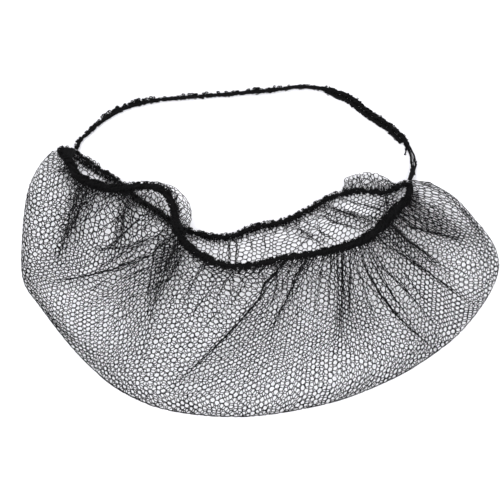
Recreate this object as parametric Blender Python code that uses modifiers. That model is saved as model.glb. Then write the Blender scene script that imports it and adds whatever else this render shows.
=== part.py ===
"""A beard cover lying on a flat surface.

A pouch of knitted nylon net is gathered onto an elastic mouth ring, and an
elastic head strap runs from one corner of the mouth to the other. Metres, +Z up,
the pouch lies on z = 0 with its mouth towards +Y.
"""

import math
from collections import namedtuple

import bpy
import numpy as np

# Driving sizes
POUCH_WIDTH = 0.334
POUCH_DEPTH = 0.192
POUCH_LOFT = 0.024
NET_WALL = 0.0010
FOLD_RADIUS = 0.0010
FRONT_RUN_WIDTH = 0.0064
BACK_RUN_WIDTH = 0.0040
CORNER_WIDTH = 0.0040
STRAP_WIDTH = 0.0040
BARE_STRAND_WIDTH = 0.0026
LAP_WIDTH = 0.0031
CLEARANCE = 0.00035

# How far the net stands out past the mouth where it puffs over the elastic
FRONT_PUFF_REACH = 0.0098
BACK_PUFF_REACH = 0.0126
GATHER_REACH = 0.0090
LEAVING_ANGLE = 20
CORNER_LEAVING_ANGLE = 50
LIP = 0.0016
UNDER_GAP = 0.0056
TURN_ROUNDING = 1.6

# Fineness of the solids
COLUMNS = 76
CORNER_FINENESS = 0.06
FAR_ROWS = 7
STRAP_POINTS = 52
LAP_POINTS = 16

BOTTOM_LEVEL = NET_WALL / 2
FOLD_LEVEL = BOTTOM_LEVEL + FOLD_RADIUS
TOP_LEVEL = FOLD_LEVEL + FOLD_RADIUS

# A section of the pouch joins one point of the front elastic, the point of the back
# elastic under it and the point of the outer fold that both sheets reach. Across is a
# share of half the width, along of half the depth, and rise of the loft. A turn of 1 has
# the net leave its elastic on the side away from the pouch, and a puff of 1 sends it its
# full reach out there before it comes back under the elastic.
Section = namedtuple(
    "Section",
    "front_across front_along front_rise back_across back_along back_rise "
    "fold_across fold_along front_turn front_puff back_turn back_puff",
)
SECTIONS = [
    Section(-0.832, 0.969, 0.18, -0.832, 0.969, 0.18, -0.870, 0.967, 0.00, 0.00, 1.00, 0.00),
    Section(-0.807, 0.902, 0.25, -0.790, 0.966, 0.16, -0.926, 0.852, 0.00, 0.00, 0.00, 0.00),
    Section(-0.785, 0.836, 0.31, -0.754, 0.928, 0.12, -0.972, 0.660, 0.00, 0.00, 0.00, 0.00),
    Section(-0.771, 0.781, 0.34, -0.717, 0.888, 0.10, -0.991, 0.342, 0.00, 0.00, 0.00, 0.00),
    Section(-0.725, 0.727, 0.38, -0.679, 0.844, 0.09, -0.985, 0.015, 0.00, 0.00, 0.00, 0.00),
    Section(-0.654, 0.684, 0.42, -0.625, 0.781, 0.09, -0.910, -0.192, 0.00, 0.00, 0.00, 0.00),
    Section(-0.574, 0.665, 0.48, -0.570, 0.710, 0.09, -0.775, -0.503, 0.00, 0.00, 0.00, 0.00),
    Section(-0.503, 0.682, 0.56, -0.516, 0.614, 0.09, -0.650, -0.718, 0.30, 0.25, 0.00, 0.00),
    Section(-0.432, 0.666, 0.64, -0.461, 0.555, 0.09, -0.566, -0.821, 1.00, 0.70, 0.00, 0.00),
    Section(-0.381, 0.601, 0.67, -0.411, 0.499, 0.09, -0.507, -0.873, 1.00, 0.90, 0.00, 0.00),
    Section(-0.354, 0.494, 0.67, -0.365, 0.439, 0.09, -0.465, -0.907, 1.00, 1.00, 0.00, 0.00),
    Section(-0.344, 0.369, 0.66, -0.319, 0.392, 0.09, -0.423, -0.933, 0.90, 0.95, 0.00, 0.00),
    Section(-0.314, 0.268, 0.65, -0.268, 0.359, 0.09, -0.365, -0.958, 0.50, 0.40, 0.00, 0.00),
    Section(-0.256, 0.184, 0.70, -0.197, 0.329, 0.09, -0.272, -0.984, 0.10, 0.00, 0.00, 0.00),
    Section(-0.159, 0.097, 0.81, -0.113, 0.333, 0.09, -0.155, -1.000, 0.00, 0.00, 0.00, 0.00),
    Section(-0.038, 0.080, 0.92, -0.013, 0.399, 0.09, -0.013, -0.995, 0.00, 0.00, 0.00, 0.00),
    Section(0.096, 0.130, 1.00, 0.092, 0.437, 0.09, 0.159, -0.951, 0.00, 0.00, 0.00, 0.00),
    Section(0.235, 0.168, 1.00, 0.193, 0.514, 0.11, 0.340, -0.877, 0.00, 0.00, 0.00, 0.00),
    Section(0.360, 0.220, 0.96, 0.289, 0.604, 0.22, 0.528, -0.747, 0.00, 0.00, 0.00, 0.00),
    Section(0.457, 0.300, 0.83, 0.373, 0.641, 0.31, 0.692, -0.585, 0.00, 0.00, 1.00, 0.50),
    Section(0.532, 0.428, 0.62, 0.449, 0.652, 0.35, 0.851, -0.355, 0.00, 0.00, 1.00, 1.00),
    Section(0.578, 0.533, 0.42, 0.511, 0.643, 0.33, 0.985, -0.007, 0.00, 0.00, 1.00, 1.00),
    Section(0.608, 0.575, 0.32, 0.545, 0.655, 0.27, 0.989, 0.245, 0.00, 0.00, 1.00, 0.50),
    Section(0.629, 0.644, 0.27, 0.586, 0.687, 0.23, 0.876, 0.512, 0.00, 0.00, 0.60, 0.10),
    Section(0.627, 0.716, 0.22, 0.627, 0.716, 0.22, 0.717, 0.734, 0.00, 0.00, 1.00, 0.00),
]
LAST = len(SECTIONS) - 1

# Folds of the upper sheet: the two ends of each as shares of the half width and half
# depth, its half width as a share of the depth, and its rise (or fall) as one of the loft
Fold = namedtuple("Fold", "start_across start_along end_across end_along width rise")
FOLDS = [
    Fold(-0.36, 0.20, -0.48, -0.54, 0.036, 0.22),
    Fold(-0.75, 0.66, -0.85, 0.09, 0.034, 0.16),
    Fold(-0.44, 0.17, -0.88, -0.03, 0.030, 0.13),
    Fold(-0.56, 0.55, -0.61, 0.27, 0.032, 0.16),
    Fold(0.10, 0.05, -0.34, -0.78, 0.032, 0.20),
    Fold(0.20, 0.06, 0.05, -0.37, 0.030, -0.16),
    Fold(0.32, 0.07, 0.33, -0.46, 0.032, 0.16),
    Fold(0.43, 0.13, 0.69, -0.46, 0.032, 0.18),
    Fold(0.55, 0.19, 0.87, -0.17, 0.032, 0.18),
    Fold(0.62, 0.26, 0.86, 0.20, 0.034, 0.16),
]

# Gathers: small pleats of the upper sheet that stand at the elastic and fade towards the fold
GATHER_PLEATS = 19
GATHER_HEIGHT = 0.0011
GATHER_FADE = 0.035

# The head strap's route as it lies, across, along and up in metres, from the left corner
# of the mouth to the right one; its two end points come from the mouth elastic
STRAP_ROUTE = [
    (-0.1262, 0.1005, 0.0022),
    (-0.1197, 0.1066, 0.0020),
    (-0.1078, 0.1166, 0.0020),
    (-0.0931, 0.1244, 0.0020),
    (-0.0728, 0.1295, 0.0020),
    (-0.0483, 0.1319, 0.0020),
    (-0.0168, 0.1344, 0.0020),
    (0.0147, 0.1376, 0.0020),
    (0.0266, 0.1394, 0.0020),
    (0.0378, 0.1388, 0.0020),
    (0.0500, 0.1371, 0.0020),
    (0.0643, 0.1319, 0.0020),
    (0.0775, 0.1214, 0.0020),
    (0.0911, 0.1122, 0.0020),
    (0.1009, 0.1032, 0.0020),
    (0.1060, 0.0942, 0.0020),
    (0.1087, 0.0860, 0.0022),
    (0.1086, 0.0805, 0.0034),
    (0.1074, 0.0760, 0.0047),
]
STRAP_BARE_FROM = 0.898
LAP_FROM = 0.655
LAP_TO = 0.892


def clear_scene():
    """Empty the file of whatever objects it opens with."""
    for thing in list(bpy.data.objects):
        bpy.data.objects.remove(thing, do_unlink=True)


def smooth(share):
    """Ease a share between 0 and 1 in and out."""
    held = min(1.0, max(0.0, share))
    return held * held * (3 - 2 * held)


def spline_point(points, place, closed, tight_turns=()):
    """Read a smooth curve through the rows of points at a row number with a fraction."""
    count = len(points)
    row = int(math.floor(place))
    part = place - row
    if not closed and row >= count - 1:
        row, part = count - 2, 1.0

    def at(index):
        return points[index % count] if closed else points[min(count - 1, max(0, index))]

    def slope(index):
        rounding = TURN_ROUNDING if index % count in tight_turns else 1.0
        return rounding * (at(index + 1) - at(index - 1)) / 2

    return (
        at(row) * (2 * part**3 - 3 * part**2 + 1)
        + slope(row) * (part**3 - 2 * part**2 + part)
        + at(row + 1) * (3 * part**2 - 2 * part**3)
        + slope(row + 1) * (part**3 - part**2)
    )


def placed(across, along, rise):
    """Turn shares of the named sizes into metres."""
    return np.array([across * POUCH_WIDTH / 2, along * POUCH_DEPTH / 2, rise * POUCH_LOFT])


def ring_rows():
    """The mouth elastic's centre line: along the front run, then back along the back run."""
    front = [placed(s.front_across, s.front_along, s.front_rise) for s in SECTIONS]
    back = [placed(s.back_across, s.back_along, s.back_rise) for s in SECTIONS]
    return front + back[-2:0:-1]


RING = ring_rows()
FOLD_LINE = [placed(s.fold_across, s.fold_along, 0) for s in SECTIONS]


def front_point(section):
    return spline_point(RING, section, True, (0, LAST))


def back_point(section):
    return spline_point(RING, (2 * LAST - section) % (2 * LAST), True, (0, LAST))


def fold_point(section):
    return spline_point(FOLD_LINE, section, False)


def end_distance(section):
    """How many sections away the nearer corner of the mouth is."""
    return min(section, LAST - section)


def front_radius(section):
    grown = smooth(end_distance(section) / 3)
    return (CORNER_WIDTH + (FRONT_RUN_WIDTH - CORNER_WIDTH) * grown) / 2


def back_radius(section):
    grown = smooth(end_distance(section) / 2)
    return (CORNER_WIDTH + (BACK_RUN_WIDTH - CORNER_WIDTH) * grown) / 2


def column_places():
    """Section numbers spaced so that the fold line and the elastic share the columns evenly."""
    fine = np.linspace(0, LAST, 1200)
    steps = [0.0]
    for start, end in zip(fine[:-1], fine[1:]):
        length = sum(
            float(np.linalg.norm(line(end) - line(start)))
            for line in (front_point, back_point, fold_point)
        )
        if end_distance(start) < 1.2:
            length += CORNER_FINENESS * (end - start)
        steps.append(steps[-1] + length)
    wanted = np.linspace(0, steps[-1], COLUMNS + 1)
    places = np.interp(wanted, steps, fine)
    places[0], places[-1] = 0.0, float(LAST)
    return places


def leaving_directions(line, section):
    """Level directions at an elastic: along it, square to it, and the one its net settles to."""
    to_fold = (fold_point(section) - line(section))[:2]
    to_fold /= np.linalg.norm(to_fold)
    step = 0.05
    along = (line(min(LAST, section + step)) - line(max(0, section - step)))[:2]
    along /= np.linalg.norm(along)
    square = np.array([along[1], -along[0]])
    mixed = to_fold + (square - to_fold) * smooth(end_distance(section) / 1.5)
    return along, square, mixed / np.linalg.norm(mixed)


def fold_lift(place):
    """How far the folds of the table lift the upper sheet at a place."""
    lift = 0.0
    for fold in FOLDS:
        start = placed(fold.start_across, fold.start_along, 0)[:2]
        end = placed(fold.end_across, fold.end_along, 0)[:2]
        run = end - start
        share = float(np.dot(place - start, run) / np.dot(run, run))
        held = min(1.0, max(0.0, share))
        away = float(np.linalg.norm(place - (start + run * held)))
        reach = fold.width * POUCH_DEPTH
        lift += fold.rise * POUCH_LOFT * (1 - 0.5 * held) * math.exp(-((away / reach) ** 2))
    return lift


def gather_lift(column_share, away):
    """How far the pleats at the elastic lift the upper sheet."""
    wave = math.cos(2 * math.pi * GATHER_PLEATS * column_share)
    return GATHER_HEIGHT * wave * math.exp(-away / GATHER_FADE)


def gathered_points(centre, radius, directions, turn, puff_reach, settle, room, at_corner, lies):
    """The first points of a section, which leave the elastic plainly or puff out past it."""
    along, square, outward = directions
    start = radius + CLEARANCE + NET_WALL / 2
    reach = max(start + 0.001, min(GATHER_REACH, 0.45 * room))
    out = reach * float(np.dot(outward, square))
    aside = reach * float(np.dot(outward, along)) * (1 - turn * (1 - at_corner))
    drop = max(centre[2] - settle, 0.0005)
    plain_far, plain_angle = math.hypot(out, drop), math.degrees(math.atan2(drop, out))
    leaving_angle = LEAVING_ANGLE + (CORNER_LEAVING_ANGLE - LEAVING_ANGLE) * at_corner
    first_angle = min(leaving_angle, math.degrees(math.asin(min(1.0, drop / start))))
    puffed = [
        (start, 180),
        (0.5 * (start + puff_reach), 171),
        (puff_reach, 157),
        (0.55 * puff_reach + 0.45 * drop, 128),
        (max(drop, start), 90),
    ]
    points = []
    for step, (far, angle) in enumerate(puffed):
        share = step / (len(puffed) - 1)
        straight = start + (plain_far - start) * share
        outer_angle = 180 - leaving_angle
        far += (straight - far) * at_corner
        angle += (outer_angle + (plain_angle - outer_angle) * share - angle) * at_corner
        inner_angle = first_angle + (plain_angle - first_angle) * share
        far = straight + (far - straight) * turn
        angle = math.radians(inner_angle + (angle - inner_angle) * turn)
        above_floor = max(start, drop / max(0.05, math.sin(angle)))
        far += (min(far, above_floor) - far) * (1 if lies else turn)
        level = centre[:2] + square * far * math.cos(angle) + along * aside * share
        points.append(np.array([*level, centre[2] - far * math.sin(angle)]))
    return points


def table_share(name, section):
    """Read one column of the sections at a section number with a fraction."""
    column = np.array([[getattr(row, name)] for row in SECTIONS])
    return min(1.0, max(0.0, float(spline_point(column, section, False)[0])))


def sheet_section(section, column_share, upper):
    """One section of a sheet, from its elastic to the outer fold."""
    line = front_point if upper else back_point
    radius = front_radius(section) if upper else back_radius(section)
    turn = table_share("front_turn" if upper else "back_turn", section)
    puff = table_share("front_puff" if upper else "back_puff", section)
    centre = line(section)
    fold = fold_point(section)
    fold[2] = FOLD_LEVEL
    room = float(np.linalg.norm((fold - centre)[:2]))
    corner = end_distance(section) == 0
    if corner:
        base, settle = FOLD_LEVEL, FOLD_LEVEL
    elif upper:
        base = TOP_LEVEL
        plain = TOP_LEVEL + 0.80 * max(0.0, centre[2] - TOP_LEVEL)
        under = centre[2] - radius - UNDER_GAP
        settle = plain + (under - plain) * turn
    else:
        base, settle = BOTTOM_LEVEL, BOTTOM_LEVEL
    start = radius + CLEARANCE + NET_WALL / 2
    full_reach = FRONT_PUFF_REACH if upper else BACK_PUFF_REACH
    puff_reach = start + (full_reach - start) * puff
    directions = leaving_directions(line, section)
    at_corner = 1 - smooth(end_distance(section))
    points = gathered_points(
        centre, radius, directions, turn, puff_reach, settle, room, at_corner, not upper
    )
    leave = points[-1]
    span = float(np.linalg.norm((fold - leave)[:2]))
    lip = min(LIP, 0.3 * span) / span
    for step in range(1, FAR_ROWS):
        share = (1 - lip) * step / (FAR_ROWS - 1)
        level = leave + (fold - leave) * share
        billow = (1 - share) * (1 + 1.1 * share)
        level[2] = base + (leave[2] - base) * billow
        if upper and not corner:
            arch = math.sin(math.pi * min(1.0, share + 0.08)) ** 0.5
            lift = fold_lift(level[:2]) + gather_lift(column_share, span * share)
            level[2] += lift * arch
        points.append(level)
    points.append(fold)
    return points


def material(name, colour, roughness):
    made = bpy.data.materials.new(name)
    made.use_nodes = True
    shader = made.node_tree.nodes["Principled BSDF"]
    shader.inputs["Base Color"].default_value = (*colour, 1)
    shader.inputs["Roughness"].default_value = roughness
    return made


def add_part(name, data, finish, collection):
    thing = bpy.data.objects.new(name, data)
    data.materials.append(finish)
    collection.objects.link(thing)
    return thing


def net_pouch(collection, places):
    """The bag: an upper and a lower sheet that share the outer fold and the corner sections."""
    shares = np.linspace(0, 1, COLUMNS + 1)
    upper = [sheet_section(place, share, True) for place, share in zip(places, shares)]
    lower = [sheet_section(place, share, False) for place, share in zip(places, shares)]
    rows = len(upper[0])
    points = []
    index = {}
    for sheet, sections in (("upper", upper), ("lower", lower)):
        for column, section in enumerate(sections):
            for row, point in enumerate(section):
                shared = row == rows - 1 or column in (0, COLUMNS)
                if shared and sheet == "lower":
                    index[sheet, column, row] = index["upper", column, row]
                    continue
                index[sheet, column, row] = len(points)
                points.append(tuple(float(value) for value in point))
    faces = []
    for column in range(COLUMNS):
        for row in range(rows - 1):
            corners = ((column, row), (column, row + 1), (column + 1, row + 1), (column + 1, row))
            faces.append([index["upper", *corner] for corner in corners])
            faces.append([index["lower", *corner] for corner in reversed(corners)])
    mesh = bpy.data.meshes.new("net_pouch")
    mesh.from_pydata(points, [], faces)
    mesh.validate()
    pouch = add_part("net_pouch", mesh, material("black_nylon_net", (0.03, 0.03, 0.035), 0.7), collection)
    wall = pouch.modifiers.new("wall", "SOLIDIFY")
    wall.thickness = NET_WALL
    wall.offset = 0
    wall.use_rim = True
    return pouch


def tube(name, centres, radii, closed, finish, collection):
    """A round elastic that follows its centres, each with its own radius."""
    curve = bpy.data.curves.new(name, "CURVE")
    curve.dimensions = "3D"
    curve.bevel_depth = max(radii)
    curve.bevel_resolution = 2
    curve.render_resolution_u = 0
    curve.use_fill_caps = not closed
    spline = curve.splines.new("POLY")
    spline.points.add(len(centres) - 1)
    for point, centre, radius in zip(spline.points, centres, radii):
        point.co = (*[float(value) for value in centre], 1)
        point.radius = radius / max(radii)
    spline.use_cyclic_u = closed
    return add_part(name, curve, finish, collection)


def mouth_elastic(collection, places):
    """One closed ring: the thick gathered front run and the thinner back run."""
    centres = [front_point(place) for place in places]
    radii = [front_radius(place) for place in places]
    for place in places[-2:0:-1]:
        centres.append(back_point(place))
        radii.append(back_radius(place))
    finish = material("black_mouth_elastic", (0.012, 0.012, 0.014), 0.8)
    return tube("mouth_elastic", centres, radii, True, finish, collection)


def strap_line():
    """The strap's smooth route, whose ends stop a clearance short of the mouth elastic."""
    route = [np.array(place) for place in STRAP_ROUTE]
    ends = []
    for ring_place, near, radius in (
        (back_point(1.35), route[0], back_radius(1.35)),
        (front_point(LAST), route[-1], front_radius(LAST)),
    ):
        foot = ring_place.copy()
        foot[2] = near[2]
        away = near - foot
        ends.append(foot + away / np.linalg.norm(away) * (radius + 2 * CLEARANCE))
    rows = [ends[0], *route, ends[1]]
    fine = [spline_point(rows, place, False) for place in np.linspace(0, len(rows) - 1, 800)]
    run = [0.0]
    for start, end in zip(fine[:-1], fine[1:]):
        run.append(run[-1] + float(np.linalg.norm(end - start)))
    return np.array(fine), np.array(run) / run[-1]


def line_at(fine, run, share):
    return np.array([np.interp(share, run, fine[:, axis]) for axis in range(3)])


def head_strap(collection):
    """The elastic strap: a knitted round band that ends in bare strands at the right."""
    fine, run = strap_line()
    centres, radii = [], []
    for share in np.linspace(0, 1, STRAP_POINTS):
        thin = smooth((share - STRAP_BARE_FROM) / 0.02)
        radii.append((STRAP_WIDTH + (BARE_STRAND_WIDTH - STRAP_WIDTH) * thin) / 2)
        centres.append(line_at(fine, run, share))
    finish = material("black_strap_elastic", (0.012, 0.012, 0.014), 0.8)
    return tube("head_strap", centres, radii, False, finish, collection)


def strap_lap(collection):
    """The strap's turned-back end, stitched flat beside it on the inner side."""
    fine, run = strap_line()
    aside = STRAP_WIDTH / 2 + LAP_WIDTH / 2 + CLEARANCE
    centres = []
    for share in np.linspace(LAP_FROM, LAP_TO, LAP_POINTS):
        ahead = line_at(fine, run, share + 0.01)
        behind = line_at(fine, run, share - 0.01)
        way = (ahead - behind) / np.linalg.norm(ahead - behind)
        centre = line_at(fine, run, share) + aside * np.array([way[1], -way[0], 0])
        centre[2] = LAP_WIDTH / 2
        centres.append(centre)
    finish = material("black_lap_elastic", (0.012, 0.012, 0.014), 0.8)
    return tube("strap_lap", centres, [LAP_WIDTH / 2] * LAP_POINTS, False, finish, collection)


def main():
    clear_scene()
    collection = bpy.data.collections.new("beard_cover")
    bpy.context.scene.collection.children.link(collection)
    places = column_places()
    net_pouch(collection, places)
    mouth_elastic(collection, places)
    head_strap(collection)
    strap_lap(collection)


main()
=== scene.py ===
"""The look of a beard cover that lies flat: knitted net, gathered mouth elastic and strap.

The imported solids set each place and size. The net, the yarns and the threads here follow
the same lines. Metres, +Z up, the pouch lies on z = 0 with its mouth towards +Y.
"""

import math
from collections import namedtuple

import bpy
import numpy as np
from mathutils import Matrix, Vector
from mathutils.bvhtree import BVHTree
from mathutils.kdtree import KDTree


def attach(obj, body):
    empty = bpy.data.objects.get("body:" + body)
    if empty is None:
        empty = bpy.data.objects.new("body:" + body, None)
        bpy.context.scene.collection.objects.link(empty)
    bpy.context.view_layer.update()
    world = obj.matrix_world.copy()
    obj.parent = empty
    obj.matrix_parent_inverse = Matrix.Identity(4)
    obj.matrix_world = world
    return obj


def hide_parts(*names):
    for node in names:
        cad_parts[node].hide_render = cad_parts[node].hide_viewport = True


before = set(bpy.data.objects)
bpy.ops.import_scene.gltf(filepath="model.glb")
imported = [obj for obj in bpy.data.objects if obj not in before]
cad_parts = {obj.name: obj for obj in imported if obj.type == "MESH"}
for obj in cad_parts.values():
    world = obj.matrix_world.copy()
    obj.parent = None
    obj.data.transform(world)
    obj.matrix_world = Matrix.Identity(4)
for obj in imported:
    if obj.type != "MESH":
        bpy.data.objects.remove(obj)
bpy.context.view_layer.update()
BODY = "root"

# How the photograph's pixels lie on the surface that the cover rests on
METRES_PER_PIXEL = 0.0007
ORIGIN_COLUMN = 259
ORIGIN_ROW = 281.5
FRAME_PIXELS = 500
CAMERA_ELEVATION = math.radians(80)
CAMERA_DISTANCE = 1.6
SENSOR_WIDTH = 36
SINE = math.sin(CAMERA_ELEVATION)
COSINE = math.cos(CAMERA_ELEVATION)

# Driving sizes and the form of a section, as in the solids
POUCH_WIDTH = 0.334
POUCH_DEPTH = 0.192
POUCH_LOFT = 0.024
NET_WALL = 0.0010
FOLD_RADIUS = 0.0010
FRONT_RUN_WIDTH = 0.0064
BACK_RUN_WIDTH = 0.0040
CORNER_WIDTH = 0.0040
STRAP_WIDTH = 0.0040
LAP_WIDTH = 0.0031
CLEARANCE = 0.00035
GATHER_REACH = 0.0090
GATHER_SHARE = 0.45
LEAST_REACH = 0.001
LEAST_DROP = 0.0005
LEAST_SLOPE = 0.05
LEAVING_ANGLE = 20
CORNER_LEAVING_ANGLE = 50
LIP = 0.0016
LIP_SHARE = 0.3
PLAIN_SETTLE = 0.80
UNDER_GAP = 0.0056
TURN_ROUNDING = 1.6
FAR_ROWS = 7
SECTION_STEP = 0.05
CORNER_BLEND = 1.5
FRONT_TAPER = 3
BACK_TAPER = 2
FOLD_FADE = 0.5
BILLOW = 1.1
ARCH_FROM = 0.08
ARCH_FULLNESS = 0.5
BOTTOM_LEVEL = NET_WALL / 2
FOLD_LEVEL = BOTTOM_LEVEL + FOLD_RADIUS
TOP_LEVEL = FOLD_LEVEL + FOLD_RADIUS

# How the scene's outline and puffs differ from the solids'
BACK_PUFF_REACH = 0.0165
PUFF_FULLNESS = 0.45
BACK_PUFF_SHIFT = 0.6
BACK_PUFF_SHIFT_FROM = 21
BACK_PUFF_SHIFT_OVER = 1.5
LOW_EDGE_INSET = 0.0016
LOW_EDGE_FROM = 0.2
SHOULDER_SECTION = 23.4
SHOULDER_REACH = 0.4
SHOULDER_BULGE = 0.0020
SHOULDER_WAY = (0.6, 0.8)

# The knit: its pitch, which way it lies in degrees, and half the width of its strands
Knit = namedtuple("Knit", "pitch turn half_width")
UPPER_KNIT = Knit(0.0039, 90, 0.00030)
LOWER_KNIT = Knit(0.0034, 83, 0.00026)
TUCK_KNIT = Knit(0.0038, 0, 0.00030)
STRAND_HALF_DEPTH = 0.00019
STRAND_SWELL = 0.9
EDGE_THREAD_RADIUS = 0.00025
RIM_TUCK = 0.45
LOWEST_STRAND = STRAND_HALF_DEPTH + 0.00005
CELL_FILL = 0.9
WIDTH_JITTER = 0.12
SHEET_JITTER = 0.00012
OFF_CHART = 0.0001

# Smooth random sway, by how high and how long its bumps are
Wobble = namedtuple("Wobble", "size length")
WARP_ACROSS = Wobble(0.0012, 0.06)
WARP_ALONG = Wobble(0.0012, 0.05)
WAVE_PARTS = 5
WAVE_HEIGHT = 2.6
WAVE_LENGTHS = (0.7, 1.9)

# How finely the sheets are worked out, and the row where the lower one turns up
CHART_COLUMNS = 321
SECTION_SAMPLES = 361
ROW_SAMPLES = 49
KNEE_ROW = 28

Section = namedtuple(
    "Section",
    "front_across front_along front_rise back_across back_along back_rise "
    "fold_across fold_along front_turn back_turn back_puff",
    defaults=(0, 0, 0),
)
SECTIONS = [
    Section(-0.832, 0.969, 0.18, -0.832, 0.969, 0.18, -0.870, 0.967, 0.00, 1.00),
    Section(-0.807, 0.902, 0.25, -0.790, 0.966, 0.16, -0.926, 0.852),
    Section(-0.785, 0.836, 0.31, -0.754, 0.928, 0.12, -0.972, 0.660),
    Section(-0.771, 0.781, 0.34, -0.717, 0.888, 0.10, -0.991, 0.342),
    Section(-0.725, 0.727, 0.38, -0.679, 0.844, 0.09, -0.985, 0.015),
    Section(-0.654, 0.684, 0.42, -0.625, 0.781, 0.09, -0.910, -0.192),
    Section(-0.574, 0.665, 0.48, -0.570, 0.710, 0.09, -0.775, -0.503),
    Section(-0.503, 0.682, 0.56, -0.516, 0.614, 0.09, -0.650, -0.718, 0.30),
    Section(-0.432, 0.666, 0.64, -0.461, 0.555, 0.09, -0.566, -0.821, 1.00),
    Section(-0.381, 0.601, 0.67, -0.411, 0.499, 0.09, -0.507, -0.873, 1.00),
    Section(-0.354, 0.494, 0.67, -0.365, 0.439, 0.09, -0.465, -0.907, 1.00),
    Section(-0.344, 0.369, 0.66, -0.319, 0.392, 0.09, -0.423, -0.933, 0.90),
    Section(-0.314, 0.268, 0.65, -0.268, 0.359, 0.09, -0.365, -0.958, 0.50),
    Section(-0.256, 0.184, 0.70, -0.197, 0.329, 0.09, -0.272, -0.984, 0.10),
    Section(-0.159, 0.097, 0.81, -0.113, 0.333, 0.09, -0.155, -1.000),
    Section(-0.038, 0.080, 0.92, -0.013, 0.399, 0.09, -0.013, -0.995),
    Section(0.096, 0.130, 1.00, 0.092, 0.437, 0.09, 0.159, -0.951),
    Section(0.235, 0.168, 1.00, 0.193, 0.514, 0.11, 0.340, -0.877),
    Section(0.360, 0.220, 0.96, 0.289, 0.604, 0.22, 0.528, -0.747),
    Section(0.457, 0.300, 0.83, 0.373, 0.641, 0.31, 0.692, -0.585, 0.00, 1.00, 0.50),
    Section(0.532, 0.428, 0.62, 0.449, 0.652, 0.35, 0.851, -0.355, 0.00, 1.00, 1.00),
    Section(0.578, 0.533, 0.42, 0.511, 0.643, 0.33, 0.985, -0.007, 0.00, 1.00, 1.00),
    Section(0.608, 0.575, 0.32, 0.545, 0.655, 0.27, 0.989, 0.245, 0.00, 1.00, 0.50),
    Section(0.629, 0.644, 0.27, 0.586, 0.687, 0.23, 0.876, 0.512, 0.00, 0.60, 0.10),
    Section(0.627, 0.716, 0.22, 0.627, 0.716, 0.22, 0.717, 0.734, 0.00, 1.00),
]
LAST = len(SECTIONS) - 1
EVEN_SECTIONS = np.linspace(0, LAST, SECTION_SAMPLES)

# How far the net puffs out past the front elastic, from the elastic's own line
Puff = namedtuple("Puff", "section reach")
FRONT_PUFFS = [
    Puff(7.0, 0.0042), Puff(8.0, 0.0050), Puff(9.0, 0.0058), Puff(9.6, 0.0072),
    Puff(10.2, 0.0090), Puff(11.0, 0.0102), Puff(11.8, 0.0090), Puff(12.6, 0.0042),
]

Fold = namedtuple("Fold", "start_across start_along end_across end_along width rise")
FOLDS = [
    Fold(-0.36, 0.20, -0.48, -0.54, 0.036, 0.22),
    Fold(-0.75, 0.66, -0.85, 0.09, 0.034, 0.16),
    Fold(-0.44, 0.17, -0.88, -0.03, 0.030, 0.13),
    Fold(-0.56, 0.55, -0.61, 0.27, 0.032, 0.16),
    Fold(0.10, 0.05, -0.34, -0.78, 0.032, 0.20),
    Fold(0.20, 0.06, 0.05, -0.37, 0.030, -0.16),
    Fold(0.32, 0.07, 0.33, -0.46, 0.032, 0.16),
    Fold(0.43, 0.13, 0.69, -0.46, 0.032, 0.18),
    Fold(0.55, 0.19, 0.87, -0.17, 0.032, 0.18),
    Fold(0.62, 0.26, 0.86, 0.20, 0.034, 0.16),
]

# Which place on its elastic each place on the outer fold is knitted up to: the upper
# sheet fans out from the middle of the front run
Fan = namedtuple("Fan", "fold_section rim_section")
UPPER_FAN = [
    Fan(0.0, 0.0), Fan(1.0, 1.4), Fan(2.0, 3.8), Fan(3.0, 6.6), Fan(4.0, 9.4),
    Fan(5.0, 12.0), Fan(6.5, 13.0), Fan(8.7, 14.3), Fan(11.3, 15.6), Fan(14.9, 16.7),
    Fan(17.0, 17.7), Fan(19.3, 18.8), Fan(21.0, 20.2), Fan(22.5, 22.0), Fan(24.0, 24.0),
]

# Where the gathered elastic is thicker or thinner than its usual width
Swell = namedtuple("Swell", "section reach share")
FRONT_SWELLS = [
    Swell(1.6, 1.2, 0.30), Swell(4.2, 1.4, 0.08), Swell(9.0, 1.8, -0.16), Swell(15.2, 2.8, -0.40),
    Swell(16.7, 0.4, -0.12), Swell(18.9, 0.9, 0.18), Swell(20.2, 0.7, 0.36), Swell(22.2, 0.8, 0.10),
]
BACK_SWELLS = [
    Swell(3.4, 2.6, -0.76), Swell(10.0, 2.6, -0.18), Swell(15.0, 1.0, 0.16), Swell(21.0, 0.9, 0.20),
]

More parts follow.
